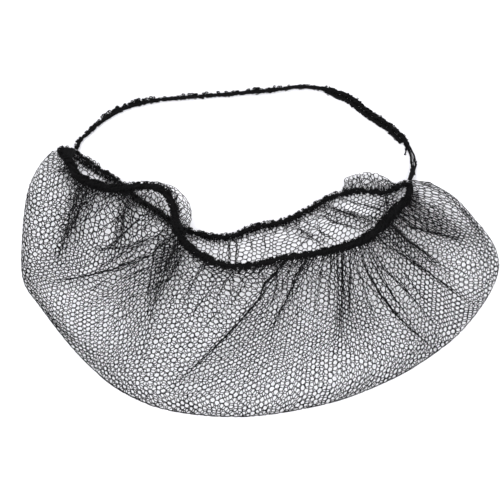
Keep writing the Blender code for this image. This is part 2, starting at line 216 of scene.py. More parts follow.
# Places where the whole net is bunched up, placed by pixels of the photograph. The long
# reach lies along the tilt, in degrees up from the right, and the net is drawn together
# by one share along it and by another across it
Bunch = namedtuple(
    "Bunch", "column row long_reach wide_reach tilt draw_along draw_aside thicken", defaults=(0,)
)
UPPER_BUNCHES = [
    Bunch(76, 212, 32, 17, 72, 0.12, 0.28, 0.05),
    Bunch(106, 204, 20, 12, 0, 0.20, 0.20),
    Bunch(122, 222, 32, 12, 76, 0.08, 0.24, 0.25),
    Bunch(142, 236, 50, 30, 38, -0.26, 0.38),
    Bunch(168, 256, 30, 17, 58, 0.04, 0.12, 0.22),
    Bunch(149, 312, 44, 8, 82, 0, 0.20),
    Bunch(262, 396, 150, 60, 0, -0.12, -0.12),
    Bunch(438, 196, 36, 20, -38, -0.48, -0.46),
    Bunch(118, 282, 60, 32, 36, -0.24, 0.10),
    Bunch(84, 312, 50, 26, -38, -0.34, -0.34),
    Bunch(215, 290, 36, 14, 50, 0.05, 0.28),
    Bunch(262, 274, 70, 9, 2, 0.10, 0.22),
    Bunch(306, 318, 34, 24, 60, -0.36, -0.32),
    Bunch(341, 300, 44, 11, 90, 0.05, 0.20, 0.22),
    Bunch(376, 290, 46, 18, -52, -0.28, -0.12),
    Bunch(380, 290, 32, 9, -58, 0, 0.24, 0.24),
    Bunch(462, 274, 40, 30, -50, -0.12, -0.12),
    Bunch(428, 192, 24, 14, -20, 0.26, -0.30),
    Bunch(352, 358, 56, 30, 20, -0.12, -0.12),
    Bunch(398, 238, 26, 12, -30, 0.20, 0.36, 0.40),
    Bunch(432, 218, 34, 17, -12, -0.32, -0.32, 0.46),
    Bunch(184, 204, 26, 12, -58, -0.22, -0.24),
]
LOWER_BUNCHES = [
    Bunch(76, 212, 32, 17, 72, 0.10, 0.20),
    Bunch(122, 222, 32, 12, 76, 0.10, 0.22),
    Bunch(168, 258, 26, 17, 58, 0.10, 0.16),
    Bunch(341, 298, 46, 10, 90, 0.05, 0.14),
    Bunch(376, 290, 46, 18, -52, -0.26, -0.10),
    Bunch(432, 218, 34, 17, -12, -0.24, -0.24, 0.25),
    Bunch(262, 396, 150, 60, 0, -0.10, -0.10),
    Bunch(438, 196, 36, 20, -38, -0.56, -0.54),
    Bunch(462, 274, 40, 30, -50, -0.16, -0.16),
    Bunch(142, 240, 48, 28, 38, -0.22, 0.32),
    Bunch(300, 234, 56, 22, 12, 0, 0, 0.08),
    Bunch(108, 288, 50, 30, 34, -0.26, 0.10),
]

# Where the lower sheet's knit itself is closer or wider, through to its elastic
LOWER_PATCHES = [
    Bunch(222, 250, 36, 40, 0, 0.42, 0),
    Bunch(252, 245, 30, 26, 24, 0.34, 0.06),
    Bunch(292, 240, 44, 34, 30, 0.16, 0.30),
    Bunch(336, 226, 50, 34, -18, 0.16, 0.30),
    Bunch(368, 206, 44, 34, -14, 0.18, 0.40),
    Bunch(392, 200, 22, 22, 30, 0.30, 0.30),
    Bunch(346, 208, 24, 12, -16, 0.10, 0.26),
]
KNIT_MARGIN = 0.020

# Pleats of a sheet, placed by the pixels that they lie on in the photograph. Each runs
# from the elastic by a bend to its end. What lies within the half width is drawn into a
# line by the pull, and past the spread the sheet is left alone
Pleat = namedtuple(
    "Pleat",
    "start_column start_row bend_column bend_row end_column end_row half_width pull spread lift threads",
)
UPPER_PLEATS = [
    Pleat(146, 254, 112, 276, 42, 282, 0.0023, 0.0021, 0.0075, 0.0008, 5),
    Pleat(156, 234, 118, 258, 82, 243, 0.0022, 0.0020, 0.0065, 0.0006, 3),
    Pleat(80, 182, 72, 212, 55, 274, 0.0020, 0.0018, 0.0060, 0.0008, 3),
    Pleat(88, 188, 80, 208, 66, 244, 0.0017, 0.0015, 0.0050, 0.0006, 2),
    Pleat(95, 190, 88, 214, 76, 246, 0.0017, 0.0015, 0.0050, 0.0006, 1),
    Pleat(104, 192, 99, 212, 90, 236, 0.0014, 0.0012, 0.0045, 0.0004, 0),
    Pleat(121, 196, 118, 218, 110, 250, 0.0017, 0.0015, 0.0050, 0.0006, 1),
    Pleat(127, 196, 124, 222, 115, 252, 0.0020, 0.0018, 0.0055, 0.0008, 3),
    Pleat(134, 204, 130, 222, 122, 242, 0.0014, 0.0012, 0.0045, 0.0006, 0),
    Pleat(161, 232, 151, 262, 146, 312, 0.0016, 0.0013, 0.0050, 0.0006, 3),
    Pleat(172, 230, 160, 262, 147, 306, 0.0014, 0.0009, 0.0045, 0.0006, 1),
    Pleat(180, 238, 156, 280, 142, 364, 0.0017, 0.0012, 0.0055, 0.0008, 2),
    Pleat(187, 246, 172, 274, 154, 306, 0.0014, 0.0010, 0.0045, 0.0006, 1),
    Pleat(286, 258, 258, 312, 162, 395, 0.0025, 0.0023, 0.0080, 0.0010, 5),
    Pleat(300, 258, 286, 282, 260, 318, 0.0016, 0.0014, 0.0050, 0.0006, 1),
    Pleat(308, 254, 292, 288, 264, 342, 0.0023, 0.0021, 0.0070, 0.0010, 6),
    Pleat(314, 254, 302, 276, 290, 306, 0.0016, 0.0014, 0.0050, 0.0006, 1),
    Pleat(335, 250, 333, 296, 334, 344, 0.0014, 0.0010, 0.0045, 0.0006, 0),
    Pleat(341, 250, 340, 300, 339, 350, 0.0016, 0.0010, 0.0050, 0.0010, 3),
    Pleat(348, 250, 350, 290, 346, 334, 0.0014, 0.0010, 0.0045, 0.0006, 2),
    Pleat(350, 252, 358, 286, 382, 336, 0.0017, 0.0011, 0.0050, 0.0006, 1),
    Pleat(357, 252, 380, 314, 440, 352, 0.0023, 0.0021, 0.0070, 0.0010, 8),
    Pleat(364, 248, 380, 286, 418, 330, 0.0017, 0.0015, 0.0048, 0.0008, 5),
    Pleat(366, 246, 388, 274, 418, 306, 0.0017, 0.0015, 0.0048, 0.0006, 2),
    Pleat(378, 240, 424, 272, 480, 309, 0.0021, 0.0019, 0.0065, 0.0008, 5),
    Pleat(392, 230, 424, 254, 458, 277, 0.0021, 0.0019, 0.0065, 0.0008, 4),
    Pleat(396, 224, 430, 231, 470, 244, 0.0018, 0.0012, 0.0055, 0.0010, 5),
]
LOWER_PLEATS = [
    Pleat(229, 238, 230, 250, 230, 272, 0.0015, 0.0013, 0.0040, 0.0, 2),
    Pleat(236, 236, 236, 250, 235, 272, 0.0015, 0.0013, 0.0040, 0.0, 2),
    Pleat(266, 224, 265, 242, 262, 270, 0.0013, 0.0011, 0.0040, 0.0, 1),
    Pleat(286, 220, 308, 234, 336, 256, 0.0018, 0.0016, 0.0050, 0.0, 1),
    Pleat(294, 215, 318, 230, 348, 248, 0.0017, 0.0015, 0.0045, 0.0, 1),
    Pleat(306, 210, 340, 224, 382, 238, 0.0017, 0.0011, 0.0045, 0.0, 1),
    Pleat(318, 203, 345, 213, 394, 228, 0.0020, 0.0008, 0.0050, 0.0, 3),
    Pleat(332, 196, 358, 203, 396, 214, 0.0017, 0.0007, 0.0045, 0.0, 2),
    Pleat(385, 190, 386, 204, 392, 228, 0.0018, 0.0016, 0.0050, 0.0, 2),
]
LOWER_SHARE_OF_PLEATS = 0.65

# Patches of short fine gathers that lie side by side and draw the cells out along them
Streak = namedtuple("Streak", "column row long_reach wide_reach tilt length count")
UPPER_STREAKS = [
    Streak(136, 236, 22, 26, 40, 40, 13),
    Streak(104, 268, 26, 22, 34, 36, 7),
    Streak(118, 300, 36, 18, 32, 40, 4),
    Streak(206, 290, 22, 30, 58, 40, 12),
    Streak(262, 282, 10, 46, 80, 26, 12),
    Streak(318, 280, 12, 14, 76, 34, 5),
    Streak(392, 286, 26, 28, -52, 44, 7),
    Streak(430, 262, 22, 16, -32, 40, 5),
]
LOWER_STREAKS = [
    Streak(292, 236, 16, 14, 40, 20, 7),
    Streak(348, 216, 24, 10, -16, 30, 8),
]
STREAK_WIDTH = 0.0012
STREAK_SPREAD = 0.0032

# Tucks: strips of a sheet that are folded over or under it, from the elastic by a bend to
# the tip, with how wide each is at those three places and its layers above and below
Tuck = namedtuple(
    "Tuck",
    "sheet start_column start_row bend_column bend_row end_column end_row "
    "start_width middle_width end_width above below",
)
TUCKS = [
    Tuck("upper", 84, 186, 76, 208, 58, 256, 0.0150, 0.0110, 0.0015, 1, 1),
    Tuck("upper", 122, 196, 124, 220, 113, 246, 0.0090, 0.0060, 0.0012, 1, 0),
    Tuck("upper", 178, 228, 166, 258, 147, 320, 0.0190, 0.0130, 0.0020, 1, 0),
    Tuck("upper", 307, 258, 292, 290, 272, 328, 0.0036, 0.0044, 0.0010, 1, 0),
    Tuck("upper", 412, 206, 432, 216, 458, 232, 0.0130, 0.0180, 0.0080, 1, 0),
    Tuck("upper", 386, 238, 412, 254, 446, 276, 0.0050, 0.0045, 0.0010, 1, 0),
    Tuck("lower", 397, 195, 386, 205, 368, 222, 0.0080, 0.0120, 0.0040, 1, 0),
    Tuck("lower", 286, 225, 308, 234, 334, 246, 0.0034, 0.0040, 0.0014, 1, 0),
    Tuck("lower", 322, 210, 346, 217, 374, 228, 0.0060, 0.0090, 0.0030, 1, 0),
    Tuck("lower", 138, 191, 152, 202, 166, 214, 0.0060, 0.0120, 0.0050, 1, 0),
]

# A pleat in metres in the photograph's plane
Crease = namedtuple("Crease", "start bend end half_width pull spread lift threads")

# The strap's middle line, from the mouth's left corner round to its right one, and by
# shares of its length where its lap begins and ends and where it parts into bare strands
STRAP_ROUTE = [
    (-0.1262, 0.1005, 0.0022), (-0.1197, 0.1066, 0.0020), (-0.1078, 0.1166, 0.0020),
    (-0.0931, 0.1244, 0.0020), (-0.0728, 0.1295, 0.0020), (-0.0483, 0.1319, 0.0020),
    (-0.0168, 0.1344, 0.0020), (0.0147, 0.1376, 0.0020), (0.0266, 0.1394, 0.0020),
    (0.0378, 0.1388, 0.0020), (0.0500, 0.1371, 0.0020), (0.0643, 0.1319, 0.0020),
    (0.0775, 0.1214, 0.0020), (0.0911, 0.1122, 0.0020), (0.1009, 0.1032, 0.0020),
    (0.1060, 0.0942, 0.0020), (0.1087, 0.0860, 0.0022), (0.1086, 0.0805, 0.0034),
    (0.1074, 0.0760, 0.0047),
]
STRAP_BARE_FROM = 0.898
LAP_FROM = 0.655
LAP_TO = 0.892

# Strands that wind round a line, and loops that stand off it. A strand's turns are for
# each metre, and its reach is a share of the line's radius
Winding = namedtuple("Winding", "reach strands turns wander thread_radius sides")
Loops = namedtuple("Loops", "count height width thread_radius sides")
FLOOR_GAP = 0.0001
YARN_STEP = 0.0008
STITCH_STEP = 0.00033
FINE_STEP = 0.0004
CORE_SIDES = 6
STRAND_DRIFT = Wobble(0.7, 0.02)
WANDER_LENGTH = 0.008
LOOP_POINTS = 11
LOOP_TILT = 0.45
LOOP_LEAN = 0.4
LOOP_FOOT = 0.75
SIDEWAYS = (0, math.pi)
OUTER_SIDE = (math.pi,)

# The strap's yarns, its loops by shares of its length, its lap and the thread on that
Fringe = namedtuple("Fringe", "first last radius_share facing loops")
STRAP_SECTION = 1.35
STRAP_POINTS = 800
CORD_STEP = 0.006
STRAP_JOINT = 0.955
STRAP_EASE = 0.02
STRAP_WOBBLE = Wobble(0.14, 0.012)
STRAP_PAIR_GAP = 0.0014
STRAP_YARNS = Winding(0.70, 4, 95, 0.22, 0.00050, 6)
STRAP_CROSSING = Winding(0.95, 2, -190, 0.25, 0.00028, 6)
STRAP_PAIR = Winding(1.0, 2, 9, 0.20, 0.00075, 6)
STRAP_FRINGES = [
    Fringe(-1.0, STRAP_BARE_FROM, 1.0, SIDEWAYS, Loops(130, 0.0009, 0.0015, 0.00022, 5)),
    Fringe(0.01, 0.10, 1.0, OUTER_SIDE, Loops(10, 0.0012, 0.0017, 0.00040, 5)),
    Fringe(0.10, 0.24, 1.0, OUTER_SIDE, Loops(40, 0.0022, 0.0017, 0.00040, 5)),
    Fringe(0.30, 0.55, 1.0, OUTER_SIDE, Loops(24, 0.0015, 0.0017, 0.00040, 5)),
    Fringe(0.925, 0.985, 0.8, SIDEWAYS, Loops(30, 0.0009, 0.0014, 0.00032, 5)),
]
LAP_EASE = 0.03
LAP_LAID_OVER = 0.010
LAP_CORE = 0.7
LAP_WOBBLE = Wobble(0.11, 0.01)
LAP_YARNS = Winding(0.75, 4, 110, 0.20, 0.00055, 6)
LAP_STITCHES = Winding(1.0, 1, 240, 0.15, 0.00026, 6)
LAP_LOOPS = Loops(26, 0.0010, 0.0014, 0.00024, 6)
TAIL_PIXELS = ((405.5, 143.5), (407, 147.5), (406.8, 151), (406, 154.5))
TAIL_LEVEL = 0.0010
TAIL_RADIUS = 0.00060
TAIL_POINTS = 24
TAIL_WOBBLE = Wobble(0.3, 0.003)

# The mouth elastic, the knot at its left corner and the open edge beside that
RUN_POINTS = 900
RUN_WOBBLE = Wobble(0.09, 0.009)
RUN_FINE_WOBBLE = Wobble(0.06, 0.004)
BEAD_WOBBLE = Wobble(0.0008, 0.01)
SLIM_RANGE = (0.4, 1.2)
LOOP_START = 0.9
FRONT_YARNS = Winding(0.56, 6, 38, 0.22, 0.00070, 6)
FRONT_STITCHES = Winding(0.98, 2, 210, 0.22, 0.00030, 4)
FRONT_LOOPS = Loops(620, 0.0011, 0.0017, 0.00026, 4)
BACK_YARNS = Winding(0.48, 3, 70, 0.22, 0.00050, 6)
BACK_STITCHES = Winding(0.98, 2, 210, 0.22, 0.00028, 4)
BACK_LOOPS = Loops(380, 0.0011, 0.0017, 0.00026, 4)
KNOT_BARS = 19
KNOT_SECTIONS = 1.5
KNOT_BACK_SHARE = 0.92
BAR_POINTS = 9
BAR_ARCH = 0.0012
BAR_JITTER = 0.0003
KNOT_RADIUS = 0.0030
KNOT_TIP = (-0.0012, 0.0016, 0.0)
KNOT_REACH = 1.6
KNOT_POINTS = 60
BAR_RADIUS = 0.0010
KNOT_YARNS = Winding(0.92, 4, 120, 0.25, 0.00060, 6)
KNOT_LOOPS = Loops(26, 0.0007, 0.0012, 0.00026, 6)
LACE_SECTIONS = (0.9, 5.6)
LACE_POINTS = 260
LACE_WIDTH = 0.0032
LACE_EASE = 0.004
LACE_PITCH = 0.0034
LACE_RADIUS = 0.00036
LACE_BAR_RADIUS = 0.00026
LACE_LIFT = 0.0004
LACE_START = 0.0007
LACE_EDGE_START = 0.0005
LACE_LOOPS = Loops(46, 0.0019, 0.0020, 0.00026, 6)
LACE_EDGE_LOOPS = Loops(24, 0.0012, 0.0016, 0.00026, 6)

# The two sheets of net. Their fine creases and gathered threads are spread over shares of
# the elastic's length
Gathers = namedtuple("Gathers", "count first last longest")
Sheet = namedtuple(
    "Sheet", "name knit patches bunches pleats streaks streaks_have_threads fine gathers"
)
SHEETS = [
    Sheet(
        "upper", UPPER_KNIT, (), UPPER_BUNCHES, UPPER_PLEATS, UPPER_STREAKS, True,
        Gathers(104, 0.05, 0.93, 0.060), Gathers(420, 0.04, 0.98, 0.010),
    ),
    Sheet(
        "lower", LOWER_KNIT, LOWER_PATCHES, LOWER_BUNCHES, LOWER_PLEATS, LOWER_STREAKS, False,
        Gathers(80, 0.08, 0.97, 0.026), Gathers(260, 0.04, 0.98, 0.006),
    ),
]

# The gathers, creases, tucks and bare threads of the net
GATHER_POINTS = 12
GATHER_LEAN = 1.2
GATHER_WOBBLE = Wobble(0.0002, 0.004)
GATHER_RADIUS = 0.00036
GATHER_TAPER = 0.00022
FINE_SWAY = 0.0014
FINE_WIDTHS = (0.0013, 0.0020)
FINE_SPREAD = 0.0040
LIFT_SHARE = 0.25
STREAK_TILT = 4
STREAK_SWAY = 0.0010
STREAK_THREAD_SHARE = 0.3
PLEAT_RIM_FADE = 0.003
PLEAT_FOLD_FADE = 0.010
PLEAT_POINTS = 40
PLEAT_REACH = 2.6
PLEAT_END = 0.35
PLEAT_PAST = 0.004
PLEAT_RISE = 0.6
BUNCH_RIM_FADE = 0.005
BUNCH_FOLD_FADE = 0.016
THICKER_RANGE = (-0.2, 1.0)
TUCK_POINTS = 60
TUCK_ABOVE = 0.0008
TUCK_BELOW = 0.0009
TUCK_LOWEST = 0.0003
TUCK_JITTER = 0.00022
THREAD_LIFT = 0.0003
THREAD_RADIUS = 0.00020
THREAD_JITTER = 0.00034
THREAD_WOBBLE = Wobble(0.0004, 0.009)
EDGE_SHARE = 0.95
EDGE_STEP = 0.0012
EDGE_EASE = 0.14
EDGE_ASIDE = Wobble(0.0003, 0.005)
EDGE_UP = Wobble(0.0002, 0.007)


def smooth(share):
    """Ease a share between 0 and 1 in and out."""
    held = np.clip(share, 0, 1)
    return held * held * (3 - 2 * held)


def bump(place, middle, reach):
    """A share that is 1 at the middle and fades to nothing past the reach."""
    return np.exp(-(((place - middle) / reach) ** 2))


def unit(vectors):
    size = np.linalg.norm(vectors, axis=-1, keepdims=True)
    return vectors / np.where(size < 1e-12, 1.0, size)


def spline_point(points, place, closed=False, tight_turns=()):
    """Read a smooth curve through the rows of points at a row number with a fraction."""
    count = len(points)
    row = int(math.floor(place))
    part = place - row
    if not closed and row >= count - 1:
        row, part = count - 2, 1.0

    def at(index):
        return points[index % count] if closed else points[min(count - 1, max(0, index))]

    def slope(index):
        rounding = TURN_ROUNDING if index % count in tight_turns else 1.0
        return rounding * (at(index + 1) - at(index - 1)) / 2

    return (
        at(row) * (2 * part**3 - 3 * part**2 + 1)
        + slope(row) * (part**3 - 2 * part**2 + part)
        + at(row + 1) * (3 * part**2 - 2 * part**3)
        + slope(row + 1) * (part**3 - part**2)
    )


def spline_line(points, count):
    """Read a smooth curve through the rows of points at evenly spaced row numbers."""
    return np.array([spline_point(points, row) for row in np.linspace(0, len(points) - 1, count)])


def placed(across, along, rise=0):
    """Turn shares of the named sizes into metres."""
    return np.array([across * POUCH_WIDTH / 2, along * POUCH_DEPTH / 2, rise * POUCH_LOFT])


FRONT_ROWS = [placed(s.front_across, s.front_along, s.front_rise) for s in SECTIONS]
BACK_ROWS = [placed(s.back_across, s.back_along, s.back_rise) for s in SECTIONS]
RING = FRONT_ROWS + BACK_ROWS[-2:0:-1]
FOLD_LINE = [placed(s.fold_across, s.fold_along) for s in SECTIONS]


def front_point(section):
    return spline_point(RING, section, True, (0, LAST))


def back_point(section):
    return spline_point(RING, (2 * LAST - section) % (2 * LAST), True, (0, LAST))


def fold_point(section):
    return spline_point(FOLD_LINE, section)


def end_distance(section):
    """How many sections away the nearer corner of the mouth is."""
    return min(section, LAST - section)


def front_radius(section):
    grown = smooth(end_distance(section) / FRONT_TAPER)
    return (CORNER_WIDTH + (FRONT_RUN_WIDTH - CORNER_WIDTH) * grown) / 2


def back_radius(section):
    grown = smooth(end_distance(section) / BACK_TAPER)
    return (CORNER_WIDTH + (BACK_RUN_WIDTH - CORNER_WIDTH) * grown) / 2


def leaving_directions(line, section):
    """Level directions at an elastic: along it, square to it, and the one its net settles to."""
    to_fold = (fold_point(section) - line(section))[:2]
    to_fold /= np.linalg.norm(to_fold)
    ahead, behind = min(LAST, section + SECTION_STEP), max(0, section - SECTION_STEP)
    along = (line(ahead) - line(behind))[:2]
    along /= np.linalg.norm(along)
    square = np.array([along[1], -along[0]])
    mixed = to_fold + (square - to_fold) * smooth(end_distance(section) / CORNER_BLEND)
    return along, square, mixed / np.linalg.norm(mixed)


def fold_lift(place):
    """How far the folds of the table lift the upper sheet at a place."""
    lift = 0.0
    for fold in FOLDS:
        start = placed(fold.start_across, fold.start_along)[:2]
        run = placed(fold.end_across, fold.end_along)[:2] - start
        share = float(np.dot(place - start, run) / np.dot(run, run))
        held = min(1.0, max(0.0, share))
        away = float(np.linalg.norm(place - (start + run * held)))
        reach = fold.width * POUCH_DEPTH
        lift += fold.rise * POUCH_LOFT * (1 - FOLD_FADE * held) * math.exp(-((away / reach) ** 2))
    return lift


def gathered_points(centre, start, directions, turn, puff_reach, settle, room, at_corner, lies):
    """The first points of a section, which leave the elastic plainly or puff out past it."""
    along, square, outward = directions
    reach = max(start + LEAST_REACH, min(GATHER_REACH, GATHER_SHARE * room))
    out = reach * float(np.dot(outward, square))
    aside = reach * float(np.dot(outward, along)) * (1 - turn * (1 - at_corner))
    drop = max(centre[2] - settle, LEAST_DROP)
    plain_far, plain_angle = math.hypot(out, drop), math.degrees(math.atan2(drop, out))
    leaving_angle = LEAVING_ANGLE + (CORNER_LEAVING_ANGLE - LEAVING_ANGLE) * at_corner
    first_angle = min(leaving_angle, math.degrees(math.asin(min(1.0, drop / start))))
    outer_angle = 180 - leaving_angle
    # How far from the elastic's centre a full puff is, at angles round it in degrees
    puffed = [
        (start, 180),
        (0.5 * (start + puff_reach), 171),
        (puff_reach, 157),
        (0.55 * puff_reach + 0.45 * drop, 128),
        (max(drop, start), 90),
    ]
    points = []
    for step, (far, angle) in enumerate(puffed):
        share = step / (len(puffed) - 1)
        straight = start + (plain_far - start) * share
        far += (straight - far) * at_corner
        angle += (outer_angle + (plain_angle - outer_angle) * share - angle) * at_corner
        inner_angle = first_angle + (plain_angle - first_angle) * share
        far = straight + (far - straight) * turn
        angle = math.radians(inner_angle + (angle - inner_angle) * turn)
        above_floor = max(start, drop / max(LEAST_SLOPE, math.sin(angle)))
        far += (min(far, above_floor) - far) * (1 if lies else turn)
        level = centre[:2] + square * far * math.cos(angle) + along * aside * share
        points.append(np.array([*level, centre[2] - far * math.sin(angle)]))
    return points


def table_share(name, section):
    """Read one column of the sections at a section number with a fraction."""
    column = np.array([[getattr(row, name)] for row in SECTIONS])
    return min(1.0, max(0.0, float(spline_point(column, section)[0])))


def fold_place(section):
    """Where the outer fold is, with its bulge near the right end and its flatter bottom."""
    fold = fold_point(section)
    fold[1] += LOW_EDGE_INSET * smooth(-2 * fold[1] / (POUCH_DEPTH / 2) - LOW_EDGE_FROM)
    shoulder = math.exp(-(((section - SHOULDER_SECTION) / SHOULDER_REACH) ** 2))
    fold[:2] += SHOULDER_BULGE * shoulder * np.array(SHOULDER_WAY)
    fold[2] = FOLD_LEVEL
    return fold


def puff_at(section, upper, start):
    """How far a sheet is turned over its elastic at a section, and how far out it puffs."""
    if upper:
        puff_reach = max(start, float(np.interp(section, *zip(*FRONT_PUFFS))))
        return table_share("front_turn", section), puff_reach
    shifted = smooth((section - BACK_PUFF_SHIFT_FROM) / BACK_PUFF_SHIFT_OVER)
    read_at = section - BACK_PUFF_SHIFT * shifted
    puff = table_share("back_puff", read_at) ** PUFF_FULLNESS
    return table_share("back_turn", read_at), start + (BACK_PUFF_REACH - start) * puff


def far_points(leave, fold, base, lifted):
    """The points of a section from its gathers to its lip, which billow and may be lifted."""
    span = float(np.linalg.norm((fold - leave)[:2]))
    lip = min(LIP, LIP_SHARE * span) / span
    points = []
    for step in range(1, FAR_ROWS):
        share = (1 - lip) * step / (FAR_ROWS - 1)
        level = leave + (fold - leave) * share
        level[2] = base + (leave[2] - base) * ((1 - share) * (1 + BILLOW * share))
        if lifted:
            arch = math.sin(math.pi * min(1.0, share + ARCH_FROM)) ** ARCH_FULLNESS
            level[2] += fold_lift(level[:2]) * arch
        points.append(level)
    return points


def sheet_section(section, upper):
    """One section of a sheet, from its elastic to the outer fold."""
    line, radius_of = (front_point, front_radius) if upper else (back_point, back_radius)
    centre, fold, radius = line(section), fold_place(section), radius_of(section)
    start = radius + CLEARANCE + NET_WALL / 2
    turn, puff_reach = puff_at(section, upper, start)
    corner = end_distance(section) == 0
    base = settle = FOLD_LEVEL if corner else BOTTOM_LEVEL
    if upper and not corner:
        base = TOP_LEVEL
        plain = TOP_LEVEL + PLAIN_SETTLE * max(0.0, centre[2] - TOP_LEVEL)
        under = centre[2] - radius - UNDER_GAP
        settle = plain + (under - plain) * turn
    room = float(np.linalg.norm((fold - centre)[:2]))
    at_corner = 1 - smooth(end_distance(section))
    directions = leaving_directions(line, section)
    points = gathered_points(
        centre, start, directions, turn, puff_reach, settle, room, at_corner, not upper
    )
    return [*points, *far_points(points[-1], fold, base, upper and not corner), fold]


def run_lengths(points):
    """How far along a line each of its points is."""
    steps = np.linalg.norm(np.diff(points, axis=0), axis=1)
    return np.concatenate([[0.0], np.cumsum(steps)])


def read_line(line, run, wanted):
    """Points of a line at wanted distances along it."""
    return np.stack([np.interp(wanted, run, line[:, axis]) for axis in range(line.shape[1])], 1)


def resampled(line, spacing):
    """The same line with its points evenly spaced, and how far along each is."""
    run = run_lengths(line)
    wanted = np.linspace(0, run[-1], max(4, int(run[-1] / spacing) + 1))
    return read_line(line, run, wanted), wanted


def sheet_grid(upper):
    """Points of a sheet from the outer fold, row 0, to its elastic, for evenly spaced sections."""
    line = front_point if upper else back_point
    grid = np.empty((SECTION_SAMPLES, ROW_SAMPLES, 3))
    for index, section in enumerate(EVEN_SECTIONS):
        points = sheet_section(section, upper)
        tucked = line(section) + (points[0] - line(section)) * RIM_TUCK
        grid[index] = spline_line([tucked, *points][::-1], ROW_SAMPLES)
    return grid


def wave(places, wobble, dice):
    """A smooth random curve whose bumps are about as high and as long as the wobble says."""
    total = np.zeros(np.shape(places))
    for _ in range(WAVE_PARTS):
        length = wobble.length * dice.uniform(*WAVE_LENGTHS)
        total += np.sin(2 * np.pi * (np.asarray(places) / length + dice.uniform(0, 1)))
    return wobble.size * (total / WAVE_HEIGHT)


def honeycomb(low, high, pitch, turn):
    """Corners and cells of a honeycomb that covers a flat rectangle."""
    reach = int(np.hypot(*(high - low)) / pitch / 0.8) + 2
    first = pitch * np.array([math.cos(turn), math.sin(turn)])
    second = pitch * np.array([math.cos(turn + math.pi / 3), math.sin(turn + math.pi / 3)])
    steps = np.arange(-reach, reach + 1)
    one, two = np.meshgrid(steps, steps, indexing="ij")
    centres = (low + high) / 2 + one.reshape(-1, 1) * first + two.reshape(-1, 1) * second
    centres = centres[np.all((centres > low - pitch) & (centres < high + pitch), axis=1)]
    angles = turn + math.pi / 6 + np.arange(6) * math.pi / 3
    around_cell = pitch / math.sqrt(3) * np.stack([np.cos(angles), np.sin(angles)], axis=1)
    corners = (centres[:, None, :] + around_cell[None, :, :]).reshape(-1, 2)
    keys = np.round(corners / (pitch * 0.01)).astype(np.int64)
    _, first_seen, cell_corners = np.unique(keys, axis=0, return_index=True, return_inverse=True)
    return corners[first_seen], cell_corners.reshape(-1, 6), centres


class Chart:
    """A flat map of a sheet: it turns flat places into places on the sheet."""

    def __init__(self, flat, paths, up):
        self.paths = paths
        self.values = np.concatenate(
            [paths, (up[:, -1:] - up)[:, :, None], up[:, :, None]], axis=2
        ).reshape(-1, 5)
        self.flat = flat.reshape(-1, 2)
        index = np.arange(len(self.flat)).reshape(up.shape)
        a, b = index[:-1, :-1].ravel(), index[1:, :-1].ravel()
        c, d = index[1:, 1:].ravel(), index[:-1, 1:].ravel()
        self.triangles = np.concatenate([np.stack([a, b, c], 1), np.stack([a, c, d], 1)])
        points = [(x, y, 0.0) for x, y in self.flat.tolist()]
        self.tree = BVHTree.FromPolygons(points, self.triangles.tolist())

    def read(self, places):
        """Places on the sheet, distances from rim and fold, and how far off the map each is."""
        found = [self.tree.find_nearest((x, y, 0.0)) for x, y in places.tolist()]
        near = np.array([(f[0][0], f[0][1]) for f in found])
        corners = self.triangles[np.array([f[2] for f in found])]
        missed = np.array([f[3] for f in found])
        p, q, r = (self.flat[corners[:, k]] for k in range(3))
        v, w, u = q - p, r - p, near - p
        area = cross(v, w)
        area = np.where(np.abs(area) < 1e-14, 1e-14, area)
        second = np.clip(cross(u, w) / area, 0, 1)
        third = np.clip(cross(v, u) / area, 0, 1)
        shares = (1 - second - third, second, third)
        values = sum(self.values[corners[:, k]] * shares[k][:, None] for k in range(3))
        return values[:, :3], values[:, 3], values[:, 4], missed


def cross(one, other):
    """The area between flat vectors, row by row."""
    return one[:, 0] * other[:, 1] - one[:, 1] * other[:, 0]


def upper_chart(grid):
    """Flat places of the upper sheet: along the outer fold, and up from it by the fan."""
    along_fold = run_lengths(grid[:, 0])
    wanted = np.linspace(0, along_fold[-1], CHART_COLUMNS)
    fold_places = np.interp(wanted, along_fold, EVEN_SECTIONS)
    rim_places = np.interp(fold_places, *zip(*UPPER_FAN))
    runs = np.array([run_lengths(path) for path in grid])
    paths = np.empty((CHART_COLUMNS, ROW_SAMPLES, 3))
    for row, share in enumerate((runs / runs[:, -1:]).mean(axis=0)):
        along = run_lengths(grid[:, row])
        at_fold = np.interp(fold_places, EVEN_SECTIONS, along)
        at_rim = np.interp(rim_places, EVEN_SECTIONS, along)
        places = np.interp(at_fold * (1 - share) + at_rim * share, along, EVEN_SECTIONS)
        fine = places / LAST * (SECTION_SAMPLES - 1)
        low = np.clip(np.floor(fine).astype(int), 0, SECTION_SAMPLES - 2)
        part = (fine - low)[:, None]
        paths[:, row] = grid[low, row] * (1 - part) + grid[low + 1, row] * part
    up = np.array([run_lengths(path) for path in paths])
    flat = np.stack([np.repeat(wanted[:, None], ROW_SAMPLES, axis=1), up], axis=2)
    return Chart(flat, paths, up)


def lower_chart(grid):
    """Flat places of the lower sheet: as it lies, with what rises to the elastic laid flat."""
    up = np.array([run_lengths(path) for path in grid])
    flat = grid[:, :, :2].copy()
    for index, section in enumerate(EVEN_SECTIONS):
        out = -leaving_directions(back_point, section)[2]
        past = up[index, KNEE_ROW:] - up[index, KNEE_ROW]
        flat[index, KNEE_ROW:] = grid[index, KNEE_ROW, :2] + out * past[:, None]
    return Chart(flat, grid, up)


def in_photo_plane(points):
    """Where points show in the photograph, in metres across and up."""
    tall = points[:, 1] * SINE + points[:, 2] * COSINE
    return np.stack([points[:, 0], tall], axis=1)


def at_height(places, height):
    """The points at these heights that show at places in the photograph's plane."""
    return np.stack([places[:, 0], (places[:, 1] - height * COSINE) / SINE, height], axis=1)


